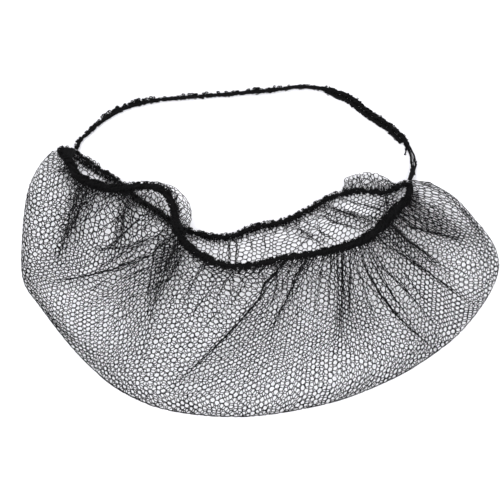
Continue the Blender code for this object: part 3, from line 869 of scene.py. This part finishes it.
def pixel_place(column, row):
    return np.array([(column - ORIGIN_COLUMN), (ORIGIN_ROW - row)]) * METRES_PER_PIXEL


def bend_places(row):
    """The start, the bend and the end of a row of a table, in the photograph's plane."""
    return (
        pixel_place(row.start_column, row.start_row),
        pixel_place(row.bend_column, row.bend_row),
        pixel_place(row.end_column, row.end_row),
    )


def bent_line(start, bend, end, count):
    """Evenly shared places from a start past a bend to an end."""
    share = np.linspace(0, 1, count)[:, None]
    return start * (1 - share) ** 2 + 2 * bend * share * (1 - share) + end * share**2


def beside_line(places, line):
    """The nearest point of a line to each place, the way there, and how far past and aside."""
    away = places[:, None, :] - line[None, :, :]
    nearest = np.argmin(np.sum(away**2, axis=2), axis=1)
    way = unit(np.gradient(line, axis=0))[nearest]
    gap = away[np.arange(len(places)), nearest]
    past = gap[:, 0] * way[:, 0] + gap[:, 1] * way[:, 1]
    aside = gap[:, 0] * -way[:, 1] + gap[:, 1] * way[:, 0]
    return nearest, way, past, aside


def tilted(degrees):
    """The way that a tilt points, and the way square to it."""
    turn = math.radians(degrees)
    way = np.array([math.cos(turn), math.sin(turn)])
    return way, np.array([-way[1], way[0]])


def bunch_shift(seen, bunch):
    """How far a bunch moves flat places towards its middle, and how near to it each is."""
    gap = seen - pixel_place(bunch.column, bunch.row)
    way, square = tilted(bunch.tilt)
    along, aside = gap @ way, gap @ square
    long_share = along / (bunch.long_reach * METRES_PER_PIXEL)
    wide_share = aside / (bunch.wide_reach * METRES_PER_PIXEL)
    near = np.exp(-(long_share**2) - wide_share**2)
    pull = bunch.draw_along * np.outer(along, way) + bunch.draw_aside * np.outer(aside, square)
    return -near[:, None] * pull, near


def bunched(points, from_rim, from_fold, bunches):
    """Draw a sheet together towards the middle of each bunch, and tell how much thicker it is."""
    points = points.copy()
    held = smooth(from_rim / BUNCH_RIM_FADE) * smooth(from_fold / BUNCH_FOLD_FADE)
    thicker = np.zeros(len(points))
    for bunch in bunches:
        shift, near = bunch_shift(in_photo_plane(points), bunch)
        points[:, 0] += held * shift[:, 0]
        points[:, 1] += held * shift[:, 1] / SINE
        swell = STRAND_SWELL * (bunch.draw_along + bunch.draw_aside) / 2
        thicker += near * (bunch.thicken + held * swell)
    return points, np.clip(thicker, *THICKER_RANGE)


def creases_of(pleats, strength=1.0):
    """Turn a table of pleats from pixels into metres in the photograph's plane."""
    made = []
    for row in pleats:
        pull, lift = row.pull * strength, row.lift * strength
        made.append(Crease(*bend_places(row), row.half_width, pull, row.spread, lift, row.threads))
    return made


def rim_columns(paths, gathers, margin, dice):
    """Seeded columns of a sheet's paths, one in each even share of its elastic."""
    rim_run = run_lengths(paths[:, -1]) / run_lengths(paths[:, -1])[-1]
    for step in range(gathers.count):
        part = step + dice.uniform(margin, 1 - margin)
        share = gathers.first + (gathers.last - gathers.first) * part / gathers.count
        yield float(np.interp(share, rim_run, np.arange(len(paths))))


def fine_creases(paths, gathers, dice):
    """Seeded short gathers that run from an elastic down into the sheet."""
    made = []
    for column in rim_columns(paths, gathers, 0.1, dice):
        path = in_photo_plane(paths[int(column), ::-1])
        run = run_lengths(path)
        length = min(gathers.longest * dice.uniform(0.3, 1.0), 0.8 * run[-1])
        begin, middle, end = read_line(path, run, np.array([0.0, 0.5 * length, length]))
        sway = dice.normal(0, FINE_SWAY, 2)
        width = dice.uniform(*FINE_WIDTHS)
        pull = width * dice.uniform(0.70, 0.98)
        made.append(
            Crease(begin, middle + sway, end, width, pull, FINE_SPREAD, LIFT_SHARE * pull, 0)
        )
    return made


def streak_creases(streaks, dice):
    """Seeded fine gathers of each patch, all lying nearly the same way."""
    made = []
    for streak in [streak for streak in streaks for _ in range(streak.count)]:
        along, aside = dice.uniform(-1, 1, 2) * (streak.long_reach, streak.wide_reach)
        way, square = tilted(streak.tilt + dice.normal(0, STREAK_TILT))
        offset = METRES_PER_PIXEL * (along * way + aside * square)
        centre = pixel_place(streak.column, streak.row) + offset
        half = 0.5 * METRES_PER_PIXEL * streak.length * dice.uniform(0.6, 1.3) * way
        bend = centre + dice.normal(0, STREAK_SWAY, 2)
        pull = STREAK_WIDTH * dice.uniform(0.65, 0.98)
        threads = int(dice.uniform() < STREAK_THREAD_SHARE)
        ends = (centre + half, bend, centre - half)
        made.append(
            Crease(*ends, STREAK_WIDTH, pull, STREAK_SPREAD, LIFT_SHARE * pull, threads)
        )
    return made


def pleated(points, from_rim, from_fold, creases):
    """Bunch a sheet up along its creases, and lay it over itself where they are deep."""
    points = points.copy()
    held = smooth(from_rim / PLEAT_RIM_FADE) * smooth(from_fold / PLEAT_FOLD_FADE)
    for crease in creases:
        line = bent_line(crease.start, crease.bend, crease.end, PLEAT_POINTS)
        reach = PLEAT_REACH * crease.spread
        seen = in_photo_plane(points)
        close = np.all((seen > line.min(axis=0) - reach) & (seen < line.max(axis=0) + reach), axis=1)
        close = np.flatnonzero(close)
        nearest, way, past, aside = beside_line(seen[close], line)
        fade = smooth((1 - nearest / (PLEAT_POINTS - 1)) / PLEAT_END) * bump(past, 0, PLEAT_PAST)
        calm = bump(aside, 0, crease.spread) * (fade * held[close])
        step = np.tanh(aside / crease.half_width)
        points[close, 0] += crease.pull * step * calm * way[:, 1]
        points[close, 1] -= crease.pull * step * calm * way[:, 0] / SINE
        points[close, 2] += crease.lift * (PLEAT_RISE + step) * calm
    return points


def add_mesh(name, vertices, face_groups, finish):
    """A smooth mesh object from vertices and groups of equally sided faces."""
    mesh = bpy.data.meshes.new(name)
    faces = [face for group in face_groups for face in group.tolist()]
    mesh.from_pydata(vertices.tolist(), [], faces)
    mesh.validate()
    mesh.shade_smooth()
    mesh.materials.append(finish)
    thing = bpy.data.objects.new(name, mesh)
    bpy.context.scene.collection.objects.link(thing)
    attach(thing, BODY)
    return thing


def knitted_mesh(points, cells, half_widths):
    """Round off a sheet of cells into joined strands: vertices and four-sided faces."""
    corners = points[cells]
    following = np.roll(corners, -1, axis=1)
    cell_normals = unit(np.cross(corners, following).sum(axis=1))
    normals = np.zeros_like(points)
    for side in range(6):
        np.add.at(normals, cells[:, side], cell_normals)
    normals = unit(normals)
    normals[np.linalg.norm(normals, axis=1) < 0.5] = (0, 0, 1)
    back = unit(np.roll(corners, 1, axis=1) - corners)
    ahead = unit(following - corners)
    half_angle = np.sqrt(np.clip((1 - np.sum(back * ahead, axis=2)) / 2, 0.15, 1))
    inset = unit(back + ahead) * (half_widths[cells] / half_angle)[:, :, None]
    to_centre = corners.mean(axis=1, keepdims=True) - corners
    reach = np.sum(inset * to_centre, axis=2)
    room = CELL_FILL * np.sum(to_centre**2, axis=2)
    keep = np.where(reach > room, room / np.maximum(reach, 1e-12), 1.0)
    inset = corners + inset * keep[:, :, None]
    count = len(points)
    rise = normals * STRAND_HALF_DEPTH
    vertices = np.concatenate([points + rise, points - rise, inset.reshape(-1, 3)])
    inner = 2 * count + np.arange(len(cells) * 6).reshape(-1, 6)
    next_cells, next_inner = np.roll(cells, -1, axis=1), np.roll(inner, -1, axis=1)
    tops = np.stack([cells, next_cells, next_inner, inner], axis=2)
    bottoms = np.stack([inner, next_inner, next_cells + count, cells + count], axis=2)
    return vertices, np.concatenate([tops.reshape(-1, 4), bottoms.reshape(-1, 4)])


def only_used(cells):
    """The numbers of the corners that cells use, and the cells in terms of those."""
    used, cells = np.unique(cells, return_inverse=True)
    return used, cells.reshape(-1, 6)


def warped(places, patches):
    """Sway a flat knit a little everywhere, and draw it closer in its patches."""
    calm = np.random.default_rng(5)
    across = wave(places[:, 0] + 0.4 * places[:, 1], WARP_ACROSS, calm)
    sway = np.stack([across, wave(places[:, 1] - 0.3 * places[:, 0], WARP_ALONG, calm)], 1)
    for patch in patches:
        places = places + bunch_shift(places, patch)[0]
    return places + sway


def net_sheet(sheet, chart, creases, dice, finish):
    """One sheet of the net: a honeycomb laid on its chart, warped, pleated and rounded off."""
    margin = KNIT_MARGIN if sheet.patches else 0
    low, high = chart.flat.min(axis=0) - margin, chart.flat.max(axis=0) + margin
    knit = sheet.knit
    corners, cells, centres = honeycomb(low, high, knit.pitch, math.radians(knit.turn))
    corners = warped(corners, sheet.patches) + dice.normal(0, SHEET_JITTER, corners.shape)
    points, from_rim, from_fold, missed = chart.read(corners)
    centre_missed = chart.read(warped(centres, sheet.patches))[3]
    kept = (centre_missed < OFF_CHART) | ((missed[cells] < OFF_CHART).sum(axis=1) >= 3)
    used, cells = only_used(cells[kept])
    points, from_rim, from_fold = points[used], from_rim[used], from_fold[used]
    points, thicker = bunched(points, from_rim, from_fold, sheet.bunches)
    points = pleated(points, from_rim, from_fold, creases)
    points[:, 2] = np.maximum(points[:, 2], LOWEST_STRAND)
    half_widths = knit.half_width * (1 + thicker)
    half_widths *= np.exp(dice.normal(0, WIDTH_JITTER, len(points)))
    vertices, faces = knitted_mesh(points, cells, half_widths)
    name = f"net_{sheet.name}_sheet"
    return add_mesh(name, vertices, [faces], finish), points


def tubes(lines, radii, sides):
    """Capped round strands along equally long lines: vertices, sides and caps."""
    lines = np.asarray(lines, dtype=float)
    radii = np.broadcast_to(np.asarray(radii, dtype=float), lines.shape[:2])
    count, steps = lines.shape[:2]
    ways = unit(np.gradient(lines, axis=1))
    side = unit(np.cross(ways[:, 0], np.array([0.31, 0.17, 0.93])))
    frames = np.empty_like(lines)
    for step in range(steps):
        side = unit(side - ways[:, step] * np.sum(side * ways[:, step], axis=1, keepdims=True))
        frames[:, step] = side
    other = np.cross(ways, frames)
    angles = (np.arange(sides) * 2 * math.pi / sides)[None, None, :, None]
    ring = frames[:, :, None, :] * np.cos(angles) + other[:, :, None, :] * np.sin(angles)
    vertices = lines[:, :, None, :] + ring * radii[:, :, None, None]
    index = np.arange(count * steps * sides).reshape(count, steps, sides)
    after = np.roll(index, -1, axis=2)
    walls = np.stack([index[:, :-1], after[:, :-1], after[:, 1:], index[:, 1:]], axis=3)
    caps = np.concatenate([index[:, 0, ::-1], index[:, -1]])
    return vertices.reshape(-1, 3), walls.reshape(-1, 4), caps


def add_yarns(name, parts, finish):
    """One mesh object of several sets of tubes, none of which sinks into the surface."""
    starts = np.cumsum([0, *(len(vertices) for vertices, _, _ in parts)])
    walls = [part[1] + start for part, start in zip(parts, starts)]
    caps = [part[2] + start for part, start in zip(parts, starts)]
    caps.sort(key=lambda cap: cap.shape[1])
    vertices = np.concatenate([part[0] for part in parts])
    vertices[:, 2] = np.maximum(vertices[:, 2], FLOOR_GAP)
    return add_mesh(name, vertices, walls + caps, finish)


def around(line):
    """Two directions square to a line at each of its points: level one first, then the other."""
    ways = unit(np.gradient(line, axis=0))
    level = unit(np.cross(ways, np.array([0.0, 0.0, 1.0])))
    return level, np.cross(level, ways)


def moved(line, aside, up):
    """A line moved by an amount aside and another up at each of its points."""
    level, upright = around(line)
    return line + level * aside[:, None] + upright * up[:, None]


def wound(line, run, radius, winding, dice, slim=1.0):
    """Strands that wind round a line at a share of its radius."""
    made = []
    for strand in range(winding.strands):
        turned = strand / winding.strands + winding.turns * run
        angle = 2 * np.pi * turned + wave(run, STRAND_DRIFT, dice)
        wander = wave(run, Wobble(winding.wander, WANDER_LENGTH), dice)
        far = radius * winding.reach * (1 + wander)
        made.append(moved(line, far * np.cos(angle), far * np.sin(angle)))
    return tubes(made, winding.thread_radius * slim, winding.sides)


def looped(line, run, radius, loops, dice, facing=SIDEWAYS):
    """Small closed loops of thread that stand off a line."""
    level, upright = around(line)
    turn = np.linspace(0, 1, LOOP_POINTS)
    made = []
    for _ in range(loops.count):
        place = dice.uniform(run[0], run[-1])
        index = int(np.clip(np.searchsorted(run, place), 1, len(run) - 2))
        angle = dice.choice(facing) + dice.normal(0, LOOP_TILT)
        out = level[index] * math.cos(angle) + upright[index] * abs(math.sin(angle))
        way = unit(line[index + 1] - line[index - 1])
        tall, wide = loops.height * dice.uniform(0.5, 1.3), loops.width * dice.uniform(0.6, 1.3)
        lean = dice.normal(0, LOOP_LEAN) * tall
        far = radius[index] * LOOP_FOOT + tall * np.sin(np.pi * turn)
        aside = wide * (np.sin(2 * np.pi * turn) * 0.5) + lean * np.sin(np.pi * turn)
        made.append(line[index] + out * far[:, None] + way * aside[:, None])
    return tubes(made, loops.thread_radius, loops.sides)


def strap_line():
    """The strap's smooth route, whose ends stop a clearance short of the mouth elastic."""
    route = [np.array(place) for place in STRAP_ROUTE]
    ends = []
    for ring_place, near, radius in (
        (back_point(STRAP_SECTION), route[0], back_radius(STRAP_SECTION)),
        (front_point(LAST), route[-1], front_radius(LAST)),
    ):
        foot = ring_place.copy()
        foot[2] = near[2]
        away = near - foot
        ends.append(foot + away / np.linalg.norm(away) * (radius + 2 * CLEARANCE))
    return spline_line([ends[0], *route, ends[1]], STRAP_POINTS)


def add_node(nodes, kind, **inputs):
    return set_inputs(nodes.new("ShaderNode" + kind), **inputs)


def set_inputs(node, **inputs):
    """Set inputs of a shader node, whose names have underscores here for blanks."""
    for name, value in inputs.items():
        node.inputs[name.replace("_", " ")].default_value = value
    return node


def black_yarn(name, colour, roughness, grain, gloss_level):
    """Black synthetic yarn: fine filaments, with a little colour and gloss variation."""
    made = bpy.data.materials.new(name)
    made.use_nodes = True
    nodes = made.node_tree.nodes
    shader = set_inputs(nodes["Principled BSDF"], Specular_IOR_Level=gloss_level)
    place = add_node(nodes, "TexCoord")
    patches = add_node(nodes, "TexNoise", Scale=160, Detail=3)
    ramp = add_node(nodes, "ValToRGB")
    for element, position, share in zip(ramp.color_ramp.elements, (0.3, 0.75), (0.7, 1.6)):
        element.position = position
        element.color = (*[share * value for value in colour], 1)
    gloss = add_node(nodes, "MapRange", To_Min=roughness - 0.08, To_Max=roughness + 0.10)
    filaments = add_node(nodes, "TexNoise", Scale=grain, Detail=2)
    relief = add_node(nodes, "Bump", Strength=0.5, Distance=0.0001)
    for start, output, end, wanted in (
        (place, "Object", patches, "Vector"),
        (patches, "Fac", ramp, "Fac"),
        (ramp, "Color", shader, "Base Color"),
        (patches, "Fac", gloss, "Value"),
        (gloss, "Result", shader, "Roughness"),
        (place, "Object", filaments, "Vector"),
        (filaments, "Fac", relief, "Height"),
        (relief, "Normal", shader, "Normal"),
    ):
        made.node_tree.links.new(start.outputs[output], end.inputs[wanted])
    return made


def make_camera():
    data = bpy.data.cameras.new("photo_camera")
    data.sensor_width = SENSOR_WIDTH
    data.lens = SENSOR_WIDTH * CAMERA_DISTANCE / (FRAME_PIXELS * METRES_PER_PIXEL)
    data.clip_start, data.clip_end = 0.05, 20
    camera = bpy.data.objects.new("photo_camera", data)
    across, tall = pixel_place(FRAME_PIXELS / 2, FRAME_PIXELS / 2)
    back = Vector((0, -COSINE, SINE))
    camera.location = Vector((across, tall / SINE, 0)) + back * CAMERA_DISTANCE
    camera.rotation_euler = (-back).to_track_quat("-Z", "Y").to_euler()
    bpy.context.scene.collection.objects.link(camera)
    bpy.context.scene.camera = camera


def only(kept, *arrays):
    """The kept rows of each array."""
    return [array[kept] for array in arrays]


def thread_tail(dice):
    """The loose end of thread that hangs out of the strap's lap."""
    seen = [pixel_place(*place) for place in TAIL_PIXELS]
    rows = [np.array([across, tall / SINE, TAIL_LEVEL]) for across, tall in seen]
    line = spline_line(rows, TAIL_POINTS)
    radius = TAIL_RADIUS * (1 + wave(run_lengths(line), TAIL_WOBBLE, dice))
    return tubes(line[None], radius, CORE_SIDES)


def strap_band(line, run, share, radius, dice):
    """The strap's knitted band and the two bare strands that it parts into."""
    bare = smooth((share - STRAP_BARE_FROM) / STRAP_EASE)
    joint = smooth((share - STRAP_JOINT) / STRAP_EASE)
    band = only(share < STRAP_BARE_FROM + STRAP_EASE / 2, line, run, radius)
    pair = only(share > STRAP_BARE_FROM - STRAP_EASE, line, run, STRAP_PAIR_GAP * (1 - 0.4 * joint))
    return [
        tubes(line[None], radius * (0.60 - 0.45 * bare + 0.85 * joint), CORE_SIDES),
        wound(*band, STRAP_YARNS, dice),
        wound(*band, STRAP_CROSSING, dice),
        wound(*pair, STRAP_PAIR, dice),
    ]


def strap_fringes(line, run, share, radius, dice):
    """The loose loops along the strap."""
    made = []
    for fringe in STRAP_FRINGES:
        busy = only((share > fringe.first) & (share < fringe.last), line, run, radius)
        busy[2] *= fringe.radius_share
        made.append(looped(*busy, fringe.loops, dice, fringe.facing))
    return made


def strap_lap(line, run, share, dice):
    """The strap's end that is laid back beside it, with the thread that hangs out of it."""
    inner = (share >= LAP_FROM) & (share <= LAP_TO)
    lap_run = run[inner]
    laid = smooth((lap_run - lap_run[0]) / LAP_LAID_OVER)
    apart = STRAP_WIDTH / 2 + (LAP_WIDTH / 2 - CLEARANCE) * laid
    lap = line[inner] + around(line)[0][inner] * apart[:, None]
    lap[:, 2] = LAP_WIDTH / 2
    radius = LAP_WIDTH / 2 * (0.92 + wave(lap_run, LAP_WOBBLE, dice)) * (0.45 + 0.55 * laid)
    return [
        tubes(lap[None], radius * LAP_CORE, CORE_SIDES),
        wound(lap, lap_run, radius, LAP_YARNS, dice),
        wound(lap, lap_run, radius, LAP_STITCHES, dice),
        looped(lap, lap_run, radius, LAP_LOOPS, dice),
        thread_tail(dice),
    ]


def make_strap(finish, dice):
    """The strap and, as pieces of their own, its loops and its lap."""
    fine = strap_line()
    line, run = resampled(fine, YARN_STEP)
    share = run / run[-1]
    radius = STRAP_WIDTH / 2 * (1 + wave(run, STRAP_WOBBLE, dice))
    radius *= 0.68 + 0.26 * smooth((share - LAP_FROM + STRAP_EASE) / LAP_EASE)
    strap = add_yarns("strap_yarn", strap_band(line, run, share, radius, dice), finish)
    loop_yarn = add_yarns("strap_loops", strap_fringes(line, run, share, radius, dice), finish)
    lap_yarn = add_yarns("strap_lap_yarn", strap_lap(line, run, share, dice), finish)
    path = [tuple(point) for point in resampled(fine, CORD_STEP)[0]]
    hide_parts("head_strap")
    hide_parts("strap_lap")


Run = namedtuple("Run", "point radius_of swells yarns stitches bead_length bead loops")
FRONT_RUN = Run(
    front_point, front_radius, FRONT_SWELLS, FRONT_YARNS, FRONT_STITCHES, 0.0044, 0.05, FRONT_LOOPS
)
BACK_RUN = Run(
    back_point, back_radius, BACK_SWELLS, BACK_YARNS, BACK_STITCHES, 0.0033, 0.24, BACK_LOOPS
)


def elastic_run(row, dice):
    """One run of the mouth elastic: its core, its twisted yarns, its stitches and its loops."""
    sections = np.linspace(0, LAST, RUN_POINTS)
    fine = np.array([row.point(section) for section in sections])
    fine_radius = np.array([row.radius_of(section) for section in sections])
    for swell in row.swells:
        fine_radius *= 1 + swell.share * bump(sections, swell.section, swell.reach)
    line, run = resampled(fine, YARN_STEP)
    radius = np.interp(run, run_lengths(fine), fine_radius)
    bead_run = run + wave(run, BEAD_WOBBLE, dice)
    beads = row.bead * np.sin(2 * np.pi * bead_run / row.bead_length)
    uneven = 1 + wave(run, RUN_WOBBLE, dice) + wave(run, RUN_FINE_WOBBLE, dice)
    radius = radius * (uneven + beads)
    slim = np.clip(radius / radius.mean(), *SLIM_RANGE)
    closer, close_run = resampled(fine, STITCH_STEP)
    return [
        tubes(line[None], radius * row.yarns.reach, CORE_SIDES),
        wound(line, run, radius, row.yarns, dice, slim),
        wound(closer, close_run, np.interp(close_run, run, radius), row.stitches, dice),
        looped(line, run, radius * LOOP_START, row.loops, dice),
    ]


def corner_knot(dice):
    """The lump of yarn at the left corner, where both runs and the strap come together."""
    share = np.linspace(-0.12, 1.08, BAR_POINTS)[:, None]
    arch = BAR_ARCH * np.sin(np.pi * np.linspace(0, 1, BAR_POINTS))
    bars = []
    for section in np.linspace(0, KNOT_SECTIONS, KNOT_BARS):
        front, back = front_point(section), back_point(KNOT_BACK_SHARE * section)
        back[2] = front[2] = max(front[2], KNOT_RADIUS)
        bar = front * (1 - share) + back * share
        bar[:, 2] += arch + dice.normal(0, BAR_JITTER)
        bars.append(bar)
    along_front = [front_point(section) for section in np.linspace(0, KNOT_REACH, KNOT_POINTS)]
    tip = along_front[0] + np.array(KNOT_TIP)
    line, run = resampled(np.array([tip, *along_front]), FINE_STEP)
    radius = KNOT_RADIUS * np.sin(np.pi * (0.2 + 0.6 * run / run[-1])) ** 0.5
    yarns = wound(line, run, radius, KNOT_YARNS, dice)
    return [tubes(bars, BAR_RADIUS, CORE_SIDES), yarns, looped(line, run, radius, KNOT_LOOPS, dice)]


def left_lace(dice):
    """The open edge of the back run beside the left corner: a second thread and its bars."""
    outer = np.array([back_point(section) for section in np.linspace(*LACE_SECTIONS, LACE_POINTS)])
    line, run = resampled(outer, FINE_STEP)
    level, _ = around(line)
    inward = level * (1 if level[0, 1] < 0 else -1)
    apart = LACE_WIDTH * smooth(run / LACE_EASE) * smooth((run[-1] - run) / (2 * LACE_EASE))
    second = line + inward * apart[:, None]
    beads = 1 + 0.35 * np.sin(2 * np.pi * run / LACE_PITCH)
    parts = [tubes(second[None], LACE_RADIUS * beads, CORE_SIDES)]
    for phase in (0, math.pi):
        swing = 0.5 + 0.5 * np.sin(2 * np.pi * run / (2 * LACE_PITCH) + phase)
        bars = line + inward * (apart * swing)[:, None]
        bars[:, 2] += LACE_LIFT
        parts.append(tubes(bars[None], LACE_BAR_RADIUS, CORE_SIDES))
    parts.append(looped(line, run, np.full(len(run), LACE_START), LACE_LOOPS, dice))
    parts.append(looped(second, run, np.full(len(run), LACE_EDGE_START), LACE_EDGE_LOOPS, dice))
    return parts


def make_ring(finish, dice):
    """The mouth elastic: the thick gathered front run and the thinner back run."""
    parts = elastic_run(FRONT_RUN, dice) + elastic_run(BACK_RUN, dice)
    parts += corner_knot(dice) + left_lace(dice)
    ring = add_yarns("mouth_elastic_yarn", parts, finish)
    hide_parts("mouth_elastic")


def gather_threads(paths, gathers, dice):
    """Threads of net that are drawn together where they meet the elastic."""
    ease = np.linspace(0, 1, GATHER_POINTS)
    made = []
    for column in rim_columns(paths, gathers, 0, dice):
        lean = column + dice.normal(0, GATHER_LEAN)
        places = np.clip([column, lean], 0, len(paths) - 2)
        low = places.astype(int)
        part = (places - low)[:, None, None]
        begin, aim = (paths[low] * (1 - part) + paths[low + 1] * part)[:, ::-1]
        run = run_lengths(aim)
        length = gathers.longest * dice.uniform(0.35, 1.0)
        wanted = np.linspace(0, min(length, 0.6 * run[-1]), GATHER_POINTS)
        first, last = read_line(begin, run, wanted), read_line(aim, run, wanted)
        thread = first * (1 - ease[:, None]) + last * ease[:, None]
        aside, up = wave(wanted, GATHER_WOBBLE, dice), wave(wanted, GATHER_WOBBLE, dice)
        made.append(moved(thread, aside, up))
    return tubes(made, GATHER_RADIUS - GATHER_TAPER * ease, 5)


def crease_threads(creases, surface, dice):
    """The strands that lie bundled along each crease of a sheet."""
    seen = in_photo_plane(surface)
    share = np.linspace(0, 1, TUCK_POINTS)
    made = []
    for crease in creases:
        line = bent_line(crease.start, crease.bend, crease.end, TUCK_POINTS)
        way = unit(np.gradient(line, axis=0))
        run = run_lengths(line)
        for _ in range(crease.threads):
            aside = dice.normal(0, THREAD_JITTER) + wave(run, THREAD_WOBBLE, dice)
            begin, end = dice.uniform(0.0, 0.12), dice.uniform(0.62, 0.98)
            kept = (share >= begin) & (share <= end)
            places = (line + np.stack([-way[:, 1], way[:, 0]], 1) * aside[:, None])[kept]
            near = [int(np.argmin(np.sum((seen - place) ** 2, axis=1))) for place in places]
            height = np.convolve(np.pad(surface[near, 2], 3, "edge"), np.ones(7) / 7, "valid")
            thread = at_height(places, height + THREAD_LIFT)
            taper = np.sin(np.pi * np.linspace(0.04, 0.96, len(thread))) ** 0.6
            made.append(tubes(thread[None], THREAD_RADIUS * taper, 5))
    return made


def tuck_mesh(tuck, surface, dice):
    """The layers of net in one tuck, above and below the sheet that it is folded from."""
    start, bend, end = bend_places(tuck)
    line = bent_line(start, bend, end, TUCK_POINTS)
    widths = np.interp(
        np.linspace(0, 1, TUCK_POINTS),
        [0, 0.5, 1],
        [tuck.start_width, tuck.middle_width, tuck.end_width],
    )
    tree = KDTree(len(surface))
    for index, place in enumerate(in_photo_plane(surface).tolist()):
        tree.insert((*place, 0.0), index)
    tree.balance()
    low, high = line.min(axis=0) - widths.max(), line.max(axis=0) + widths.max()
    made = []
    for offset in [TUCK_ABOVE] * tuck.above + [-TUCK_BELOW] * tuck.below:
        turn = math.atan2(*(end - start)[::-1]) + dice.uniform(-0.3, 0.3)
        corners, cells, centres = honeycomb(low, high, TUCK_KNIT.pitch, turn)
        corners += dice.normal(0, TUCK_JITTER, corners.shape)
        nearest, _, past, aside = beside_line(centres, line)
        edge = widths[nearest] / 2 * (1 + dice.normal(0, WIDTH_JITTER, len(centres)))
        inside = (np.abs(aside) < edge) & (np.abs(past) < TUCK_KNIT.pitch / 4)
        used, cells = only_used(cells[inside])
        if not len(used):
            continue
        places = corners[used]
        near = [tree.find((*place, 0.0))[1] for place in places.tolist()]
        points = at_height(places, np.maximum(surface[near, 2] + offset, TUCK_LOWEST))
        half_widths = TUCK_KNIT.half_width * np.exp(dice.normal(0, WIDTH_JITTER, len(points)))
        made.append(knitted_mesh(points, cells, half_widths))
    return made


def make_tucks(surfaces, finish, dice):
    """All the tucks, as one piece."""
    parts = [part for tuck in TUCKS for part in tuck_mesh(tuck, surfaces[tuck.sheet], dice)]
    starts = np.cumsum([0, *(len(vertices) for vertices, _ in parts)])
    groups = [faces + start for (_, faces), start in zip(parts, starts)]
    return add_mesh("net_tucks", np.concatenate([part[0] for part in parts]), groups, finish)


def make_edge_thread(grid, finish, dice):
    """The thread along the outer fold, which thins towards the right end."""
    edge, run = resampled(grid[: int(EDGE_SHARE * SECTION_SAMPLES), 0], EDGE_STEP)
    edge = moved(edge, wave(run, EDGE_ASIDE, dice), wave(run, EDGE_UP, dice))
    radius = EDGE_THREAD_RADIUS * (0.35 + 0.65 * smooth((run[-1] - run) / EDGE_EASE))
    return add_yarns("net_edge_thread", [tubes(edge[None], radius, 5)], finish)


def make_net(finish, dice):
    """The two sheets of net, the thread along their fold and what is gathered at the elastic."""
    upper_grid = sheet_grid(True)
    charts = (upper_chart(upper_grid), lower_chart(sheet_grid(False)))
    pieces, surfaces, threads, from_above = [], {}, [], []
    for sheet, chart in zip(SHEETS, charts):
        pleats = creases_of(sheet.pleats)
        creases = pleats + fine_creases(chart.paths, sheet.fine, dice) + from_above
        streaks = streak_creases(sheet.streaks, dice)
        threads.append(gather_threads(chart.paths, sheet.gathers, dice))
        piece, surface = net_sheet(sheet, chart, creases + streaks, dice, finish)
        threaded = pleats + streaks if sheet.streaks_have_threads else pleats
        threads += crease_threads(threaded, surface, dice)
        from_above = creases_of(sheet.pleats, LOWER_SHARE_OF_PLEATS) + streaks
        pieces.append(piece)
        surfaces[sheet.name] = surface
    tucks = make_tucks(surfaces, finish, dice)
    hem = make_edge_thread(upper_grid, finish, dice)
    gathers = add_yarns("net_gather_threads", threads, finish)
    for piece in (*pieces, tucks, hem, gathers):
        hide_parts("net_pouch")


def make_floor():
    bpy.ops.mesh.primitive_plane_add(size=6, location=(0, 0, 0))
    floor = bpy.context.object
    floor.name = "floor"
    pale = bpy.data.materials.new("pale_floor")
    pale.use_nodes = True
    shader = pale.node_tree.nodes["Principled BSDF"]
    set_inputs(shader, Base_Color=(0.945, 0.945, 0.985, 1), Roughness=0.9, Specular_IOR_Level=0.1)
    floor.data.materials.append(pale)


def make_lights():
    world = bpy.data.worlds.new("studio")
    world.use_nodes = True
    set_inputs(world.node_tree.nodes["Background"], Color=(1, 1, 1, 1), Strength=1.08)
    bpy.context.scene.world = world
    for name, place, size, power in (
        ("key_light", (-0.7, 0.5, 1.9), 1.2, 16),
        ("fill_light", (0.9, -0.7, 1.6), 1.4, 10),
    ):
        data = bpy.data.lights.new(name, "AREA")
        data.size, data.energy = size, power
        light = bpy.data.objects.new(name, data)
        light.location = place
        light.rotation_euler = (-Vector(place)).to_track_quat("-Z", "Y").to_euler()
        bpy.context.scene.collection.objects.link(light)
    bpy.context.scene.view_settings.view_transform = "Standard"


def main():
    dice = np.random.default_rng(11)
    make_camera()
    elastic = black_yarn("black_elastic_yarn", (0.0030, 0.0030, 0.0034), 0.62, 2600, 0.08)
    nylon = black_yarn("black_nylon_strand", (0.0040, 0.0040, 0.0048), 0.50, 3800, 0.14)
    make_strap(elastic, dice)
    make_ring(elastic, dice)
    make_net(nylon, dice)
    make_floor()
    make_lights()


main()
